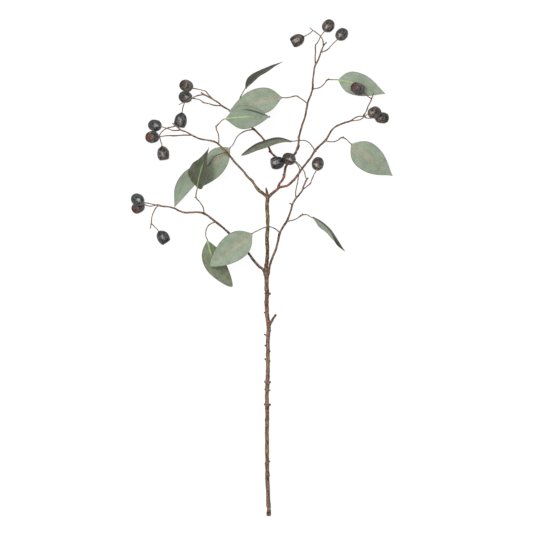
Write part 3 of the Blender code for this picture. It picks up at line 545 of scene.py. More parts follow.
CHARCOAL = capsule_finish("capsule_charcoal", (0.009, 0.009, 0.0095), (0.085, 0.082, 0.08),
                          (0.018, 0.015, 0.014), (0.035, 0.024, 0.02))
BROWN = capsule_finish("capsule_brown", (0.011, 0.009, 0.008), (0.125, 0.094, 0.077),
                       (0.04, 0.024, 0.018), (0.045, 0.027, 0.02))
RUDDY = capsule_finish("capsule_ruddy", (0.01, 0.009, 0.0085), (0.095, 0.078, 0.066),
                       (0.03, 0.02, 0.016), (0.12, 0.038, 0.026))


def capsule(number, name, shape, material):
    """A sphere drawn out to the pod's profile, then dented a little, no two alike."""
    bpy.ops.object.select_all(action="DESELECT")
    bpy.ops.mesh.primitive_uv_sphere_add(
        segments=CAPSULE_SEGMENTS, ring_count=CAPSULE_RINGS, radius=1)
    pod = bpy.context.active_object
    pod.name = pod.data.name = name + "_pod"
    grain = []
    disc = []
    painted_top_light = []
    turned = Vector(shape["axis"]).to_track_quat("Z", "Y")
    centre = capsule_centre(shape)
    for vert in pod.data.vertices:
        angle = math.atan2(vert.co.y, vert.co.x)
        share = math.acos(min(max(vert.co.z, -1), 1)) / math.pi
        along, out = profile_at(share)
        on_disc = share < DISC_SHARE
        ridges = sum(high * math.cos(waves * angle + shift * number)
                     for waves, shift, high in RIDGES)
        dents = noise.noise(Vector((math.cos(angle), math.sin(angle), along * 2.5 + number * 7)))
        swell = 1 + ridges * math.sin(math.pi * along) + DENT_DEPTH * dents
        radius = out * shape["radius"] * swell
        height = (0.5 - along) * shape["length"]
        slit = max(math.cos(2.5 * angle + number) ** 2 - SLIT_START, 0) / (1 - SLIT_START)
        if on_disc:
            height -= SLIT_DEPTH * slit * math.sin(math.pi * min(out / 0.6, 1))
        place = Vector((radius * math.cos(angle), radius * math.sin(angle), height))
        grain.append(place + Vector((0, 0, 40 * number)))
        disc.append(1 if on_disc else 0)
        # Painted top light: the skin is lighter and shinier the more it faces up, its sides
        # painted dark as shade
        upward = max((turned @ place).normalized().z, 0)
        painted_top_light.append(TOP_LIGHT_ON_SIDES + (1 - TOP_LIGHT_ON_SIDES) * upward ** 2)
        vert.co = (turned @ place + centre + BRANCH_MIDDLE) * MM
        vert.co.z = max(vert.co.z, 0)
    keep_pattern(pod.data, "grain", "FLOAT_VECTOR", grain)
    keep_pattern(pod.data, "disc", "FLOAT", disc)
    keep_pattern(pod.data, "painted_top_light", "FLOAT", painted_top_light)
    pod.data.materials.append(material)
    bpy.ops.object.shade_smooth_by_angle(angle=math.radians(50))
    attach(pod, "root")
    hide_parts(name)


for number, (name, shape) in enumerate(CAPSULES.items(), start=1):
    shell = BROWN if number in BROWN_CAPSULES else RUDDY if number in RUDDY_CAPSULES else CHARCOAL
    capsule(number, name, shape, shell)

# The woody stem with its limbs, twigs and stalks. It is one grown piece of wood: thin shoots
# leave the thick ones at nodes, and the bark goes from grey brown below through olive and red
# brown to pale tan twigs. Every leaf and capsule grows on it.
STEM_RADIUS = 2.8
CUT_END_RADIUS = 3.1
STEM_END_RADIUS = 2.6
STEM_RISE = 0.1
STEM_MIDDLE_X = -1.5
SCAR_LIFT = 0.4
SCAR_FOOT = 1.45
SCAR_TOP = 0.95
STRAIGHT_RUN = 2.5
# How far a stalk runs on into the leaf or capsule that it carries
STALK_BITE = 0.9
LEAF_STALK_RADII = (0.82, 0.72)
CAPSULE_STALK_RADII = (0.7, 0.72)
GRAIN_STEP = 0.8
GRAIN_SEARCH = 4.2
YEAR_RINGS = 9.0
# Each shoot's radius at its foot and tip, and its path. A fourth value at a point is the radius
# there, where the shoot thickens or thins.
LIMBS = {
    "main_stem": ((STEM_RADIUS, STEM_END_RADIUS),
        ((0.6, 0, CUT_END_RADIUS - FLAT_DEPTH, CUT_END_RADIUS), (0.1, 14, 4.4), (-1.4, 52, 8.3),
        (-2, 77, 10.8), (-2.1, 104, 13.5), (-2, 130, 16.1), (-1.8, 143, 17.4),
        (-2, 152, 18.4, 2.9), (-2, 156, 18.8, 3.6), (-2.1, 160, 19.2, 2.9), (-2.2, 174, 20.5),
        (-1.6, 184, 21.5, 3), (-1.4, 188, 21.9, 3.7), (-1.4, 192, 22.3, 3), (-0.8, 207, 23.8),
        (-0.8, 229, 26), (-0.8, 250, 28.1), (0.3, 267, 29.8, 3.1), (-1.8, 282, 31.3),
        (-2.6, 295, 32.6, 3), (-2.6, 304, 33.5, 3), (-2.1, 313, 34.4, 3.2), (-2.6, 322, 35.3, 2.9),
        (-2.6, 332, 36.2, 3), (-3, 341, 37, 3.1), (-3.1, 350, 38, 2.8), (-2.1, 360, 39.2),
        (-1.5, 369, 40.2), (-1.7, 378, 41.1), (-2.1, 388, 42), (-1.5, 400, 43), (-0.9, 410, 43.8),
        (-1.5, 425, 44.8), (-2.2, 438, 45.6), (-1, 447, 46, 2.6), (-1.9, 452, 46.6, 1.9),
        (-3.4, 460.6, 47.6, 1.2))),
    "stub_right": ((2.26, 1.41), ((0.3, 267, 29.8), (5.4, 275.5, 30.6), (10.5, 283.7, 31.4))),
    "limb_upper_left": ((2.37, 0.83), ((-0.8, 446.5, 46), (-4.2, 449.4, 46.4), (-7.3, 452.4, 46.8),
        (-13.5, 457, 47), (-19.8, 465.6, 47, 1.78), (-22.9, 470, 46.9, 2), (-29, 476, 46.6, 1.62),
        (-35.3, 484, 46.1, 1.57), (-43, 492, 45.3, 1.52), (-50, 500, 44.4, 1.47),
        (-54.7, 506, 43.6, 1.47), (-59.4, 510.7, 42.7, 1.62), (-64.8, 516.6, 41.6, 1.36),
        (-71, 522.5, 40.4, 1.36), (-73.4, 524.3, 39.9, 1.31), (-82.7, 527, 38, 1.2),
        (-92, 528.5, 36.5, 1.15), (-99, 530.5, 35.2, 1.15), (-106.8, 534.4, 33.4, 1.2),
        (-115.4, 539.3, 31, 1.04), (-121.6, 541.4, 29.4, 1.04), (-127, 545.6, 28, 0.99),
        (-130.9, 549, 27.2, 0.99), (-134.8, 551.5, 26.8, 0.78))),
    "twig_upper_left_high": ((0.94, 0.72), ((-122.6, 542, 29.1), (-132.5, 541.4, 24.6),
        (-137.2, 542.5, 21.5), (-139, 543.2, 20.6))),
    "twig_upper_left_tip": ((0.94, 0.72), ((-129.6, 548, 27.4), (-136.4, 546, 26),
        (-143.4, 544.5, 23), (-144.6, 543.8, 22))),
    "twig_upper_left_low": ((0.94, 0.72), ((-107.2, 534.6, 33.2), (-120, 534.6, 31.5),
        (-132, 533.8, 28.6, 0.99), (-142, 534, 26.4), (-152.7, 532.7, 24))),
    "limb_central": ((2.15, 0.88), ((-0.8, 446.5, 46), (3.6, 451.2, 46, 2.15),
        (8.2, 455.5, 45.6, 2.05), (12.9, 459.4, 45, 2.15), (13.9, 462.5, 44.4, 1.84),
        (16, 467.2, 43.4, 1.73), (19.5, 471.8, 42.4, 1.73), (21.9, 477.3, 41.4, 1.94),
        (22.6, 482.7, 40.6, 1.73), (23.8, 489, 39.8, 1.73), (29, 498, 39.4, 1.62),
        (35.1, 505.7, 40.6, 1.62), (38.6, 511.5, 43, 1.62), (41.3, 517.7, 46.4, 1.94),
        (42.1, 523, 49, 1.52), (42.5, 530, 51, 1.62), (44.9, 541, 52, 1.41),
        (47.2, 548.7, 52, 1.41), (50.3, 557.3, 51.4, 1.41), (52.7, 568.2, 50.4, 1.36),
        (54.6, 578.7, 49, 1.52), (58.9, 590, 47.8, 1.31), (61.6, 599.3, 46.8, 1.47),
        (62, 610.2, 45.8, 1.25), (63.2, 620.3, 44.8, 1.2), (65.1, 631.2, 43.9, 1.36),
        (68.8, 638.3, 43, 1.15), (71.9, 646.3, 42, 1.15), (73.3, 650.8, 41.6, 1.2),
        (75.5, 656.2, 41.2, 1.04), (77.7, 660.6, 41, 1.04), (81.3, 664.4, 41, 0.78))),
    "twig_top_middle": ((0.99, 0.78), ((65.8, 632.2, 43.8), (65.2, 642.8, 42.5),
        (65.7, 652.6, 40.6), (65.9, 660.6, 39, 1.09), (66.6, 662.4, 38.7, 0.67))),
    "twig_top_left": ((0.99, 0.67), ((76.8, 659.2, 41.1), (76.4, 663.5, 41.8), (75.9, 666.9, 42.3),
        (72.8, 672.3, 43), (67, 677.6, 42.4), (61.6, 681.2, 41.4), (57.6, 684.6, 40.6))),
    "twig_top_right": ((0.99, 0.72), ((73.2, 650.2, 41.7), (78.6, 651.9, 41.4), (84, 655.3, 40.5),
        (85.6, 656.6, 40.2))),
    "limb_left": ((1.52, 0.99), ((26.4, 493.8, 39.5), (17, 500, 37.5), (8.2, 505.7, 34),
        (3.6, 510.7, 30.5, 1.62), (0.5, 517.7, 26.5), (-6.5, 528.5, 25), (-15.8, 538.6, 27),
        (-20.5, 543, 28.2, 1.52), (-37, 556, 30), (-44, 561.3, 30.5), (-54.5, 569.5, 31),
        (-65.6, 576, 31.3, 1.31), (-68.7, 579, 31.4), (-78, 584.9, 31.6, 1.25),
        (-85.8, 589.2, 31.8), (-90.5, 591.5, 32, 1.31), (-94.8, 594.5, 32.4, 1.09))),
    "twig_left_low": ((0.94, 0.67), ((-90.5, 591.3, 32), (-99.8, 590, 31.8), (-106.8, 586.5, 31.6),
        (-113.8, 583, 31.6), (-118.5, 580.6, 31.6), (-125.5, 577.4, 31.4))),
    "twig_left_high": ((0.94, 0.67), ((-77.6, 584.7, 31.6), (-84.3, 591.5, 31.4),
        (-88.2, 596.2, 31), (-90, 597, 30.8))),
    "twig_left_middle": ((0.94, 0.78), ((-65.6, 576, 31.3), (-76.5, 576.6, 30.2),
        (-81.9, 578.3, 29.5), (-88.2, 579.9, 28.6), (-92, 581, 28, 1.09),
        (-93.2, 582, 27.4, 0.62))),
    "limb_right": ((1.73, 1.09), ((12.9, 459.9, 45), (16.5, 461.6, 45.6), (19.9, 462, 46.3),
        (26, 463.7, 47.8), (31.6, 468, 49.4), (36.2, 472.6, 50.8), (40.9, 478.8, 52),
        (46.4, 486.6, 52.4), (50.2, 491.7, 52.2), (54.9, 497.5, 51.6), (59.6, 503.7, 50.8),
        (65, 512.3, 49.4, 1.73), (70.5, 518.5, 47.8), (79.4, 526.8, 45, 1.62), (83.3, 532.7, 43),
        (87.4, 539.7, 40.6), (92.4, 545.3, 38.2), (98.5, 548.8, 35.6), (106.6, 552, 32.4),
        (115.7, 555, 29.2, 1.31), (118.7, 557.4, 28.2, 0.88), (123.8, 560.2, 26.8, 0.88),
        (130.8, 561.4, 25, 0.94), (134, 561, 24, 1.41), (136.4, 561.6, 23.6, 0.99))),
    "twig_right_lower": ((0.83, 0.78), ((114.6, 554.7, 29.5), (120.7, 555.2, 27.3),
        (128.8, 556.8, 24.8), (133.2, 559.6, 23.8))),
    "twig_right_upper": ((0.94, 0.67), ((132.5, 561.4, 24.4), (137, 568, 27.5), (139, 574, 30.5),
        (142, 580, 33.5), (144.2, 585.3, 36, 0.94), (145.5, 589.3, 37.4), (147, 592.8, 38.2))),
    "limb_lower_left": ((2.15, 1.09), ((-2.6, 330, 36), (-4.9, 340, 35.8), (-7.3, 346, 35.3),
        (-12.9, 350.5, 34.5), (-21.3, 360, 33, 1.84), (-28.7, 370, 31.4, 1.73),
        (-41, 383, 29, 1.68), (-54.7, 396.8, 27.4, 1.62), (-64, 405.3, 26.4, 1.57),
        (-74.2, 413.4, 25.8, 1.73), (-78.8, 417, 25.6, 1.52), (-85, 421.8, 25.4, 1.47),
        (-90.5, 425, 25.2, 1.62), (-99.5, 426.8, 25, 1.36), (-108.7, 426.4, 24.8, 1.31),
        (-118.6, 426.5, 24.6, 1.31), (-125, 428.8, 24.4, 1.25), (-132, 432.2, 24.3, 1.25),
        (-140.3, 434.4, 24.2, 1.2), (-150, 435.4, 24.1, 1.2), (-153.6, 436.6, 24.1, 1.41),
        (-159.8, 437, 24.6, 0.78))),
    "twig_lower_left": ((0.88, 0.67), ((-153.6, 436.4, 24), (-156.6, 434.4, 23.4),
        (-160.7, 428, 22), (-163.4, 421, 20.4), (-164.5, 412, 18.2, 0.88), (-166.1, 403.5, 17))),
    "limb_lower_right": ((1.84, 0.99), ((-2.8, 334, 36.4), (0.2, 341, 37), (1.1, 347.7, 37.6),
        (2.5, 355.2, 38.4), (4.9, 361.7, 39.2), (7.7, 368.3, 39.8), (10.9, 376.7, 40.4),
        (13.3, 386, 41), (15.9, 397.5, 41.6, 1.68), (19.8, 405, 42), (25.4, 413.7, 42.6, 1.62),
        (28.7, 421.5, 43), (31.5, 430, 43.5, 1.36), (33.1, 436, 43.8), (34.7, 440, 44, 1.36),
        (38.6, 446.3, 44.4, 1.41), (43.2, 451.6, 44.8, 1.2), (47.9, 458.6, 45.2, 1.31),
        (48.7, 462.5, 45.3, 1.09), (51, 467.2, 45.5, 1.09), (53.4, 472, 45.6, 1.2),
        (55.8, 475, 45.8, 0.88))),
    "bud_lower_right": ((1.09, 0.67), ((33.2, 436.4, 43.8), (30.6, 438.4, 44.1),
        (29, 439, 44.3))),
    "twig_middle_outer": ((0.83, 0.67), ((53.4, 472, 45.6), (51.8, 476.5, 45.4), (50.2, 482.7, 45),
        (46.4, 488.6, 46))),
    "twig_middle_inner": ((0.83, 0.67), ((38.6, 446.4, 44.4), (37.8, 452.4, 44.4),
        (38.6, 459.4, 44.4), (40.5, 468, 44.6), (41.9, 477.3, 45), (43.4, 485.8, 45.4),
        (41.4, 491.3, 45.8), (38.8, 494.8, 46.5))),
    "twig_middle_right": ((0.88, 0.72), ((47.9, 458.2, 45.2), (54.9, 463.7, 45.8),
        (58.8, 467.2, 46.5, 0.99), (59.4, 468.6, 46.7, 0.67))),
}
LEAF_STALKS = {
    "leaf_01": ((-44, 561.3, 30.5), (-43.6, 575, 31), (-39.5, 587.6, 32), (-35.6, 594.8, 33)),
    "leaf_02": ((54.2, 578.2, 49), (48.8, 582.6, 49), (43.3, 586.5, 48.6),
        (39.4, 588.8, 48.4, 0.99), (31.7, 587.6, 47.8), (24.7, 586.4, 46.8)),
    "leaf_03": ((-69.9, 521.6, 40.6), (-69.5, 528.5, 43), (-70.3, 536.3, 47),
        (-73, 545.3, 51, 1.09), (-68.7, 550.7, 53.4)),
    "leaf_04": ((61.4, 598.5, 46.9), (66.1, 599.4, 46), (72.8, 601.4, 44), (78.6, 607, 41.4),
        (82.2, 611.6, 39.6, 1.09), (89.4, 612, 36.8)),
    "leaf_05": ((79.4, 526.8, 45), (83.3, 525.4, 44.4), (91.4, 525.3, 43), (96.5, 527, 42),
        (102.5, 531, 40.8, 1.09), (109.6, 528, 38.9)),
    "leaf_06": ((65, 511.8, 49.4), (60.4, 519.7, 46), (54.9, 525.1, 43.6), (51, 526.8, 42.8),
        (44.8, 526.9, 43), (38.6, 526.4, 44.2)),
    "leaf_07": ((-90.5, 424.6, 25.2), (-90.9, 430.6, 29), (-92.8, 436, 33), (-96.7, 441.5, 37.4),
        (-101, 446.8, 41.4, 1.09), (-100.8, 454, 45)),
    "leaf_08": ((-20.5, 542.8, 28.2), (-28.2, 541.7, 29), (-35.2, 539.4, 30), (-41.5, 535, 31),
        (-45, 530.8, 31.6), (-49.2, 522.4, 32.2)),
    "leaf_09": ((-59.4, 510.4, 42.7), (-66.4, 508.6, 43), (-74.2, 505, 42.4), (-79, 500.6, 40),
        (-82, 494.6, 36.6)),
    "leaf_10": ((15.9, 397.3, 41.6), (13.3, 400.5, 39.6), (8.6, 403.7, 37.4), (3, 406.1, 36.2),
        (-4.5, 405.6, 36), (-9.1, 403.9, 36.6), (-15.7, 400.6, 38)),
    "leaf_11": ((-74.2, 413, 25.8), (-79.6, 411.2, 26), (-83.5, 408.8, 26.4), (-86.6, 404.2, 26.8),
        (-87.9, 398, 27), (-87.4, 391.6, 26.8)),
    "leaf_12": ((25.4, 413.3, 42.6), (31.6, 414.9, 42.8), (37.8, 416.8, 42.8), (42.5, 419.7, 42.6),
        (47.1, 422.8, 42.2, 1.09), (54, 422.8, 41.4)),
}
# Broken side shoots and leaf scars: the height up the stem, the reach to the right (negative to
# the left), the lean towards the crown and the radius where it stands out
SCARS = (
    (56, 3.4, 1, 0.9), (73, -3.8, 0.6, 1), (76, 3.7, 1.2, 0.9), (134, -3.6, 1, 1),
    (156, 4.9, 1, 1.4), (156.5, -4.8, 0.8, 1.4), (176, 4, 1.6, 1), (177, -4.2, 1.2, 1),
    (188, 4.6, 0.4, 1.5), (188.4, -4.6, 1.2, 1.4), (217, 4.2, 1.4, 1.1), (220, -4.2, 1, 1),
    (231, 4.3, 1.2, 1.1), (239.5, -4, 0.6, 1.2), (253, -4.8, 3, 0.9), (259, 4.9, 2.2, 1.6),
    (284, -4.8, 2.4, 1), (311, 4.4, 2.4, 1.5), (312, -4.2, 1.2, 1),
)
# Small side stubs on limbs: foot, tip and radius
STUBS = (
    ((-22.9, 470, 46.9), (-24.6, 472.6, 48.4), 0.9), ((41.3, 517.7, 46.4), (44, 519.6, 47), 0.8),
    ((42.5, 530, 51), (40, 531.6, 51.6), 0.7), ((3.6, 510.7, 30.5), (0.2, 511.8, 31.4), 1.1),
    ((-73, 545.3, 51), (-74.4, 547.4, 51.8), 0.5), ((82.2, 611.6, 39.6), (84.2, 614.2, 39.8), 0.5),
    ((102.5, 531, 40.8), (105.2, 532.8, 41), 0.5),
    ((-101, 446.8, 41.4), (-104.2, 447.4, 42.2), 0.5),
    ((47.1, 422.8, 42.2), (47.6, 425, 42.8), 0.6), ((21.9, 477.3, 41.4), (19.4, 479.2, 42), 0.7),
    ((65, 512.3, 49.4), (67, 511, 50), 0.7), ((134, 561, 24), (134.2, 562.8, 25.2), 0.9),
)
# Bark tints, and the ones that each shoot goes through from its foot to its tip
TINTS = {
    "cut": (0.135, 0.057, 0.037),
    "grey_brown": (0.185, 0.098, 0.06),
    "pink_brown": (0.22, 0.113, 0.079),
    "olive": (0.145, 0.108, 0.045),
    "olive_pale": (0.205, 0.15, 0.065),
    "dark": (0.07, 0.04, 0.026),
    "red_brown": (0.24, 0.07, 0.058),
    "brown": (0.15, 0.074, 0.042),
    "tan": (0.205, 0.112, 0.064),
    "pale": (0.24, 0.152, 0.096),
    "pink_pale": (0.23, 0.132, 0.102),
    "orange": (0.28, 0.11, 0.045),
}
STEM_TINTS = (
    (0, "cut"), (7, "cut"), (12, "olive"), (40, "grey_brown"), (62, "brown"), (76, "grey_brown"),
    (100, "olive_pale"), (125, "grey_brown"), (150, "brown"), (160, "pink_brown"),
    (172, "olive_pale"), (184, "pink_brown"), (200, "pink_brown"), (226, "olive_pale"),
    (236, "pink_brown"), (285, "pink_brown"), (310, "brown"),
    (330, "grey_brown"), (345, "brown"), (360, "dark"), (378, "olive"), (395, "olive"),
    (412, "olive_pale"), (432, "olive"), (445, "pink_brown"), (455, "red_brown"), (470, "dark"),
)
SHOOT_TINTS = {
    "stub_right": ("pink_brown", "brown"),
    "limb_upper_left": ("olive_pale", "olive_pale", "olive", "brown", "tan", "tan", "tan",
        "brown"),
    "limb_central": ("olive_pale", "red_brown", "red_brown", "brown", "pink_brown", "pink_brown",
        "brown", "tan", "tan", "tan"),
    "limb_left": ("dark", "brown", "orange", "dark", "brown", "tan", "tan"),
    "limb_right": ("olive_pale", "red_brown", "brown", "brown", "tan", "brown", "tan"),
    "limb_lower_left": ("brown", "dark", "dark", "brown", "pink_brown", "tan", "tan"),
    "limb_lower_right": ("grey_brown", "grey_brown", "brown", "brown", "tan", "brown"),
    "bud_lower_right": ("tan", "orange"),
    "twig_right_lower": ("tan", "pink_pale"),
    "twig_middle_inner": ("olive_pale", "pale"),
    "twig_middle_outer": ("olive_pale", "olive_pale"),
}
OTHER_TWIGS = ("brown", "tan")
LEAF_STALK_TINTS = ("brown", "tan", "pale")
CAPSULE_STALK_TINTS = ("tan", "pale")
STUB_TINTS = ("brown", "orange")
SCAR_TINTS = ("brown", "dark")
BARK_ROUGHNESS = 0.26
BARK_FINENESS = 0.2
WELD_DISTANCE = 0.000001


def pick(piece):
    """Select one piece alone, as the active one."""
    bpy.ops.object.select_all(action="DESELECT")
    piece.select_set(True)
    bpy.context.view_layer.objects.active = piece


def tinted(names, share):
    """The colour at a share of the way through a row of named tints."""
    place = min(max(share, 0), 1) * (len(names) - 1)
    step = min(int(place), len(names) - 2)
    return Vector(TINTS[names[step]]).lerp(Vector(TINTS[names[step + 1]]), place - step)


def stem_tinted(height):
    """The stem's colour at a height above its cut end."""
    for (low, below), (high, above) in zip(STEM_TINTS, STEM_TINTS[1:]):
        if height <= high:
            part = max(height - low, 0) / (high - low)
            return Vector(TINTS[below]).lerp(Vector(TINTS[above]), part)
    return Vector(TINTS[STEM_TINTS[-1][1]])


# Points along the shoots' middles: place, radius, two directions across, length and tint
grain_points = []


def shoot(name, path, radii, tints, sides):
    """A tapering round shoot grown through its points, whose grain and tint are kept."""
    curve = bpy.data.curves.new(name, "CURVE")
    curve.dimensions = "3D"
    curve.bevel_depth = MM
    curve.bevel_resolution = sides
    curve.resolution_u = 4
    curve.use_fill_caps = True
    spline = curve.splines.new("BEZIER")
    spline.bezier_points.add(len(path) - 1)
    last = len(path) - 1
    knots = []
    for step, point in enumerate(path):
        place = Vector(point[:3]) + BRANCH_MIDDLE
        girth = point[3] if len(point) > 3 else radii[0] + (radii[1] - radii[0]) * step / last
        knot = spline.bezier_points[step]
        knot.co = place * MM
        knot.handle_left_type = knot.handle_right_type = "AUTO"
        knot.radius = girth
        knots.append((place, girth))
    travelled = 0
    seed = 31 * len(grain_points)
    for step, ((start, girth), (end, next_girth)) in enumerate(zip(knots, knots[1:])):
        run = end - start
        along = run.normalized()
        side = Vector((0, 0, 1)).cross(along).normalized()
        count = max(int(run.length / GRAIN_STEP), 1)
        for part in range(count):
            share = part / count
            middle = start + run * share
            tint = tinted(tints, (step + share) / last)
            if name == "main_stem":
                tint = stem_tinted((middle - BRANCH_MIDDLE).y)
            grain_points.append((middle, girth + (next_girth - girth) * share, side,
                                 along.cross(side), travelled + run.length * share + seed, tint))
        travelled += run.length
    grown = bpy.data.objects.new(name, curve)
    bpy.context.scene.collection.objects.link(grown)
    pick(grown)
    bpy.ops.object.convert(target="MESH")
    bpy.ops.object.mode_set(mode="EDIT")
    bpy.ops.mesh.select_all(action="SELECT")
    bpy.ops.mesh.remove_doubles(threshold=WELD_DISTANCE)
    bpy.ops.mesh.normals_make_consistent(inside=False)
    bpy.ops.object.mode_set(mode="OBJECT")
    return grown


def short_shoot(name, foot, tip, foot_radius, radius, tints):
    """A scar or stub, straight from its foot to its blunt tip."""
    middle = tuple((low + high) / 2 for low, high in zip(foot, tip))
    radii = (foot_radius, radius * SCAR_TOP)
    shoots.append(shoot(name, (foot, middle, tip), radii, tints, 2))


shoots = []
for name, (radii, path) in LIMBS.items():
    sides = 4 if name == "main_stem" else 3 if name.startswith("limb") else 2
    shoots.append(shoot(name, path, radii, SHOOT_TINTS.get(name, OTHER_TWIGS), sides))
for name, stalk in LEAF_STALKS.items():
    start = leaf_direction(LEAVES[name], 0)
    base = Vector(LEAVES[name]["base"])
    path = (*stalk, base - start * STRAIGHT_RUN, base + start * STALK_BITE)
    shoots.append(shoot(name + "_stalk", path, LEAF_STALK_RADII, LEAF_STALK_TINTS, 2))
for name, shape in CAPSULES.items():
    axis = Vector(shape["axis"]).normalized()
    neck = capsule_neck(shape)
    path = (*shape["stalk"], neck - axis * STRAIGHT_RUN, neck + axis * STALK_BITE)
    shoots.append(shoot(name + "_stalk", path, CAPSULE_STALK_RADII, CAPSULE_STALK_TINTS, 2))
for number, (height, reach, lean, radius) in enumerate(SCARS):
    foot = (STEM_MIDDLE_X, height, CUT_END_RADIUS + height * STEM_RISE)
    tip = (STEM_MIDDLE_X + reach, height + lean, foot[2] + SCAR_LIFT)
    short_shoot("scar_%02d" % number, foot, tip, radius * SCAR_FOOT, radius, SCAR_TINTS)
for number, (foot, tip, radius) in enumerate(STUBS):
    short_shoot("stub_%02d" % number, foot, tip, radius, radius, STUB_TINTS)

stem = shoots[0]
others = bpy.data.collections.new("side_shoots")
for grown in shoots[1:]:
    bpy.context.scene.collection.objects.unlink(grown)
    others.objects.link(grown)
union = stem.modifiers.new("grown_together", "BOOLEAN")
union.operation = "UNION"
union.operand_type = "COLLECTION"
union.collection = others
union.solver = "MANIFOLD"
pick(stem)
bpy.ops.object.modifier_apply(modifier=union.name)
for grown in shoots[1:]:
    bpy.data.objects.remove(grown, do_unlink=True)
bpy.data.collections.remove(others)
stem.name = stem.data.name = "woody_stem"

# Where two shoots only just meet, the union leaves flaps of no thickness: twin faces on the same
# three points, which are cut off
joined = bmesh.new()
joined.from_mesh(stem.data)
bmesh.ops.remove_doubles(joined, verts=joined.verts, dist=WELD_DISTANCE)
bmesh.ops.triangulate(joined, faces=joined.faces)
by_points = {}
for face in joined.faces:
    by_points.setdefault(frozenset(vert.index for vert in face.verts), []).append(face)
flaps = [face for twins in by_points.values() if len(twins) > 1 for face in twins]
bmesh.ops.delete(joined, geom=flaps, context="FACES")
joined.to_mesh(stem.data)
joined.free()

nearest = kdtree.KDTree(len(grain_points))
for index, grown_at in enumerate(grain_points):
    nearest.insert(grown_at[0], index)
nearest.balance()
grains = []
tints = []
girths = []
moves = []
for vert in stem.data.vertices:
    place = vert.co / MM
    near = nearest.find_range(place, GRAIN_SEARCH) or [nearest.find(place)]
    index = min(near, key=lambda found: abs(found[2] - grain_points[found[1]][1]))[1]
    middle, radius, side, up, travelled, colour = grain_points[index]
    offset = place - middle
    grown_at = Vector((offset.dot(side), offset.dot(up), travelled))
    grains.append(grown_at)
    tints.append((*colour, 1))
    girths.append(radius)
    rough = noise.noise(Vector((grown_at.x * 0.7, grown_at.y * 0.7, grown_at.z * 0.16)))
    fine = noise.noise(Vector((grown_at.x * 1.9, grown_at.y * 1.9, grown_at.z * 0.6)))
    moves.append(vert.normal * radius * (BARK_ROUGHNESS * rough + BARK_FINENESS * fine))
for vert, move in zip(stem.data.vertices, moves):
    vert.co += move * MM
    vert.co.z = max(vert.co.z, 0)
keep_pattern(stem.data, "grain", "FLOAT_VECTOR", grains)
keep_pattern(stem.data, "tint", "FLOAT_COLOR", tints)
keep_pattern(stem.data, "girth", "FLOAT", girths)


def bark_finish():
    """Bark in the shoot's own tint, with lengthwise streaks, pale flecks and olive patches."""
    made, tree, shader = finish("bark", 0.72, 0.3)
    place = carried(tree, "grain", "Vector")
    colour = carried(tree, "tint", "Color")
    girth = carried(tree, "girth")
    streaks = cloud(tree, place, 0.75, 4, (1, 1, 0.3))
    patches = cloud(tree, place, 0.16, 3, (1.6, 1.6, 1))
    stains = cloud(tree, place, 0.11, 4, (2.2, 2.2, 1))
    flecks = cloud(tree, place, 0.6, 3, (1, 1, 0.8))
    thick = fade(tree, girth, 1.2, 2.4)
    colour = patched(tree, colour, streaks, 0.46, 0.62, 0.75, (0.36, 0.31, 0.28), "MULTIPLY")
    thick = times(tree, thick, 0.7)
    colour = patched(tree, colour, patches, 0.52, 0.64, thick, (0.075, 0.075, 0.035))
    colour = patched(tree, colour, stains, 0.5, 0.58, 0.95, (0.36, 0.29, 0.25), "MULTIPLY")
    colour = patched(tree, colour, flecks, 0.53, 0.64, 0.7, (0.38, 0.29, 0.21))
    tree.links.new(colour, shader.inputs["Base Color"])
    relief = sum_of(tree, "ADD", streaks, times(tree, flecks, 0.5))
    raised(tree, shader, relief, 0.8, 0.0008)
    return made


def cut_wood_finish():
    """The sawn end: pale wood with fine year rings round a darker pith."""
    made, tree, shader = finish("cut_wood", 0.7, 0.3)
    place = carried(tree, "grain", "Vector")
    parted = add_node(tree, "ShaderNodeSeparateXYZ", {0: place})
    across = {axis: parted.outputs[axis] for axis in "XY"}
    flat = {0: add_node(tree, "ShaderNodeCombineXYZ", across).outputs[0]}
    out = add_node(tree, "ShaderNodeVectorMath", flat, operation="LENGTH").outputs["Value"]
    rings = sum_of(tree, "SINE", times(tree, out, YEAR_RINGS))
    colour = blended(tree, fade(tree, rings, -0.6, 0.9), (0.46, 0.3, 0.19), (0.34, 0.2, 0.12))
    colour = blended(tree, fade(tree, out, 0.9, 0.5), colour, (0.16, 0.09, 0.05))
    tree.links.new(colour, shader.inputs["Base Color"])
    return made


stem.data.materials.clear()
stem.data.materials.append(bark_finish())
stem.data.materials.append(cut_wood_finish())
for face in stem.data.polygons:
    face.material_index = 0
    if face.normal.y < -0.9 and face.center.y < cad_box[0].y + MM:
        face.material_index = 1
pick(stem)
bpy.ops.object.shade_smooth_by_angle(angle=math.radians(60))
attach(stem, "root")
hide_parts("stem")

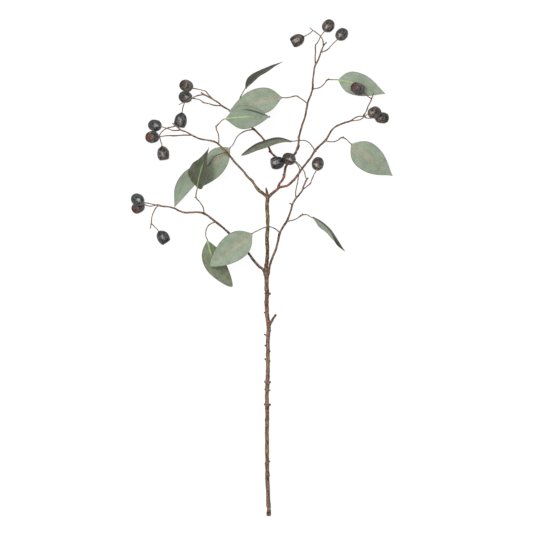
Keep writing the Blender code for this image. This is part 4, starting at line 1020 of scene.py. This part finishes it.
# The table, the light and the camera. The table is a plain white light panel, which leaves
# hardly a shadow. One large soft lamp and a small one shine from the upper left, with even light
# all round. The camera looks straight down.
bpy.ops.object.select_all(action="DESELECT")
bpy.ops.mesh.primitive_plane_add(size=12, location=(0, 0, 0))
table = bpy.context.active_object
table.name = table.data.name = "table"
panel, tree, shader = finish("light_panel", 0.9, 0.1)
place = add_node(tree, "ShaderNodeTexCoord").outputs["Object"]
colour = blended(tree, cloud(tree, place, 3, 2), (0.09, 0.09, 0.09), (0.11, 0.11, 0.11))
tree.links.new(colour, shader.inputs["Base Color"])
shader.inputs["Emission Color"].default_value = (1.0, 1.0, 1.0, 1.0)
shader.inputs["Emission Strength"].default_value = 0.92
table.data.materials.append(panel)

world = bpy.data.worlds.new("studio")
bpy.context.scene.world = world
world.use_nodes = True
surround = world.node_tree.nodes["Background"]
surround.inputs["Color"].default_value = (1.0, 1.0, 1.0, 1.0)
surround.inputs["Strength"].default_value = 0.3


def lamp(name, place, size, power):
    """A square soft lamp that faces the middle of the branch."""
    bpy.ops.object.light_add(type="AREA", location=place)
    made = bpy.context.active_object
    made.name = made.data.name = name
    made.data.size = size
    made.data.energy = power
    made.rotation_euler = Vector(place).to_track_quat("Z", "Y").to_euler()


lamp("soft_lamp", (-0.6, 0.5, 3.4), 3.8, 121)
lamp("small_lamp", (-0.55, 0.5, 2.1), 0.4, 17)

# The picture is 746.2 mm wide at the middle height of the leaves
FRAME_WIDTH = 0.7462
CAMERA_HEIGHT = 6.0
LEAF_LEVEL = 0.034
CAMERA_PLACE = (0.00662, 0.00226, CAMERA_HEIGHT + LEAF_LEVEL)
bpy.ops.object.camera_add(location=CAMERA_PLACE, rotation=(0, 0, 0))
camera = bpy.context.active_object
camera.name = camera.data.name = "camera_above"
camera.data.sensor_width = 36
camera.data.lens = camera.data.sensor_width * CAMERA_HEIGHT / FRAME_WIDTH
camera.data.clip_end = 50
bpy.context.scene.camera = camera
bpy.context.scene.view_settings.view_transform = "Standard"
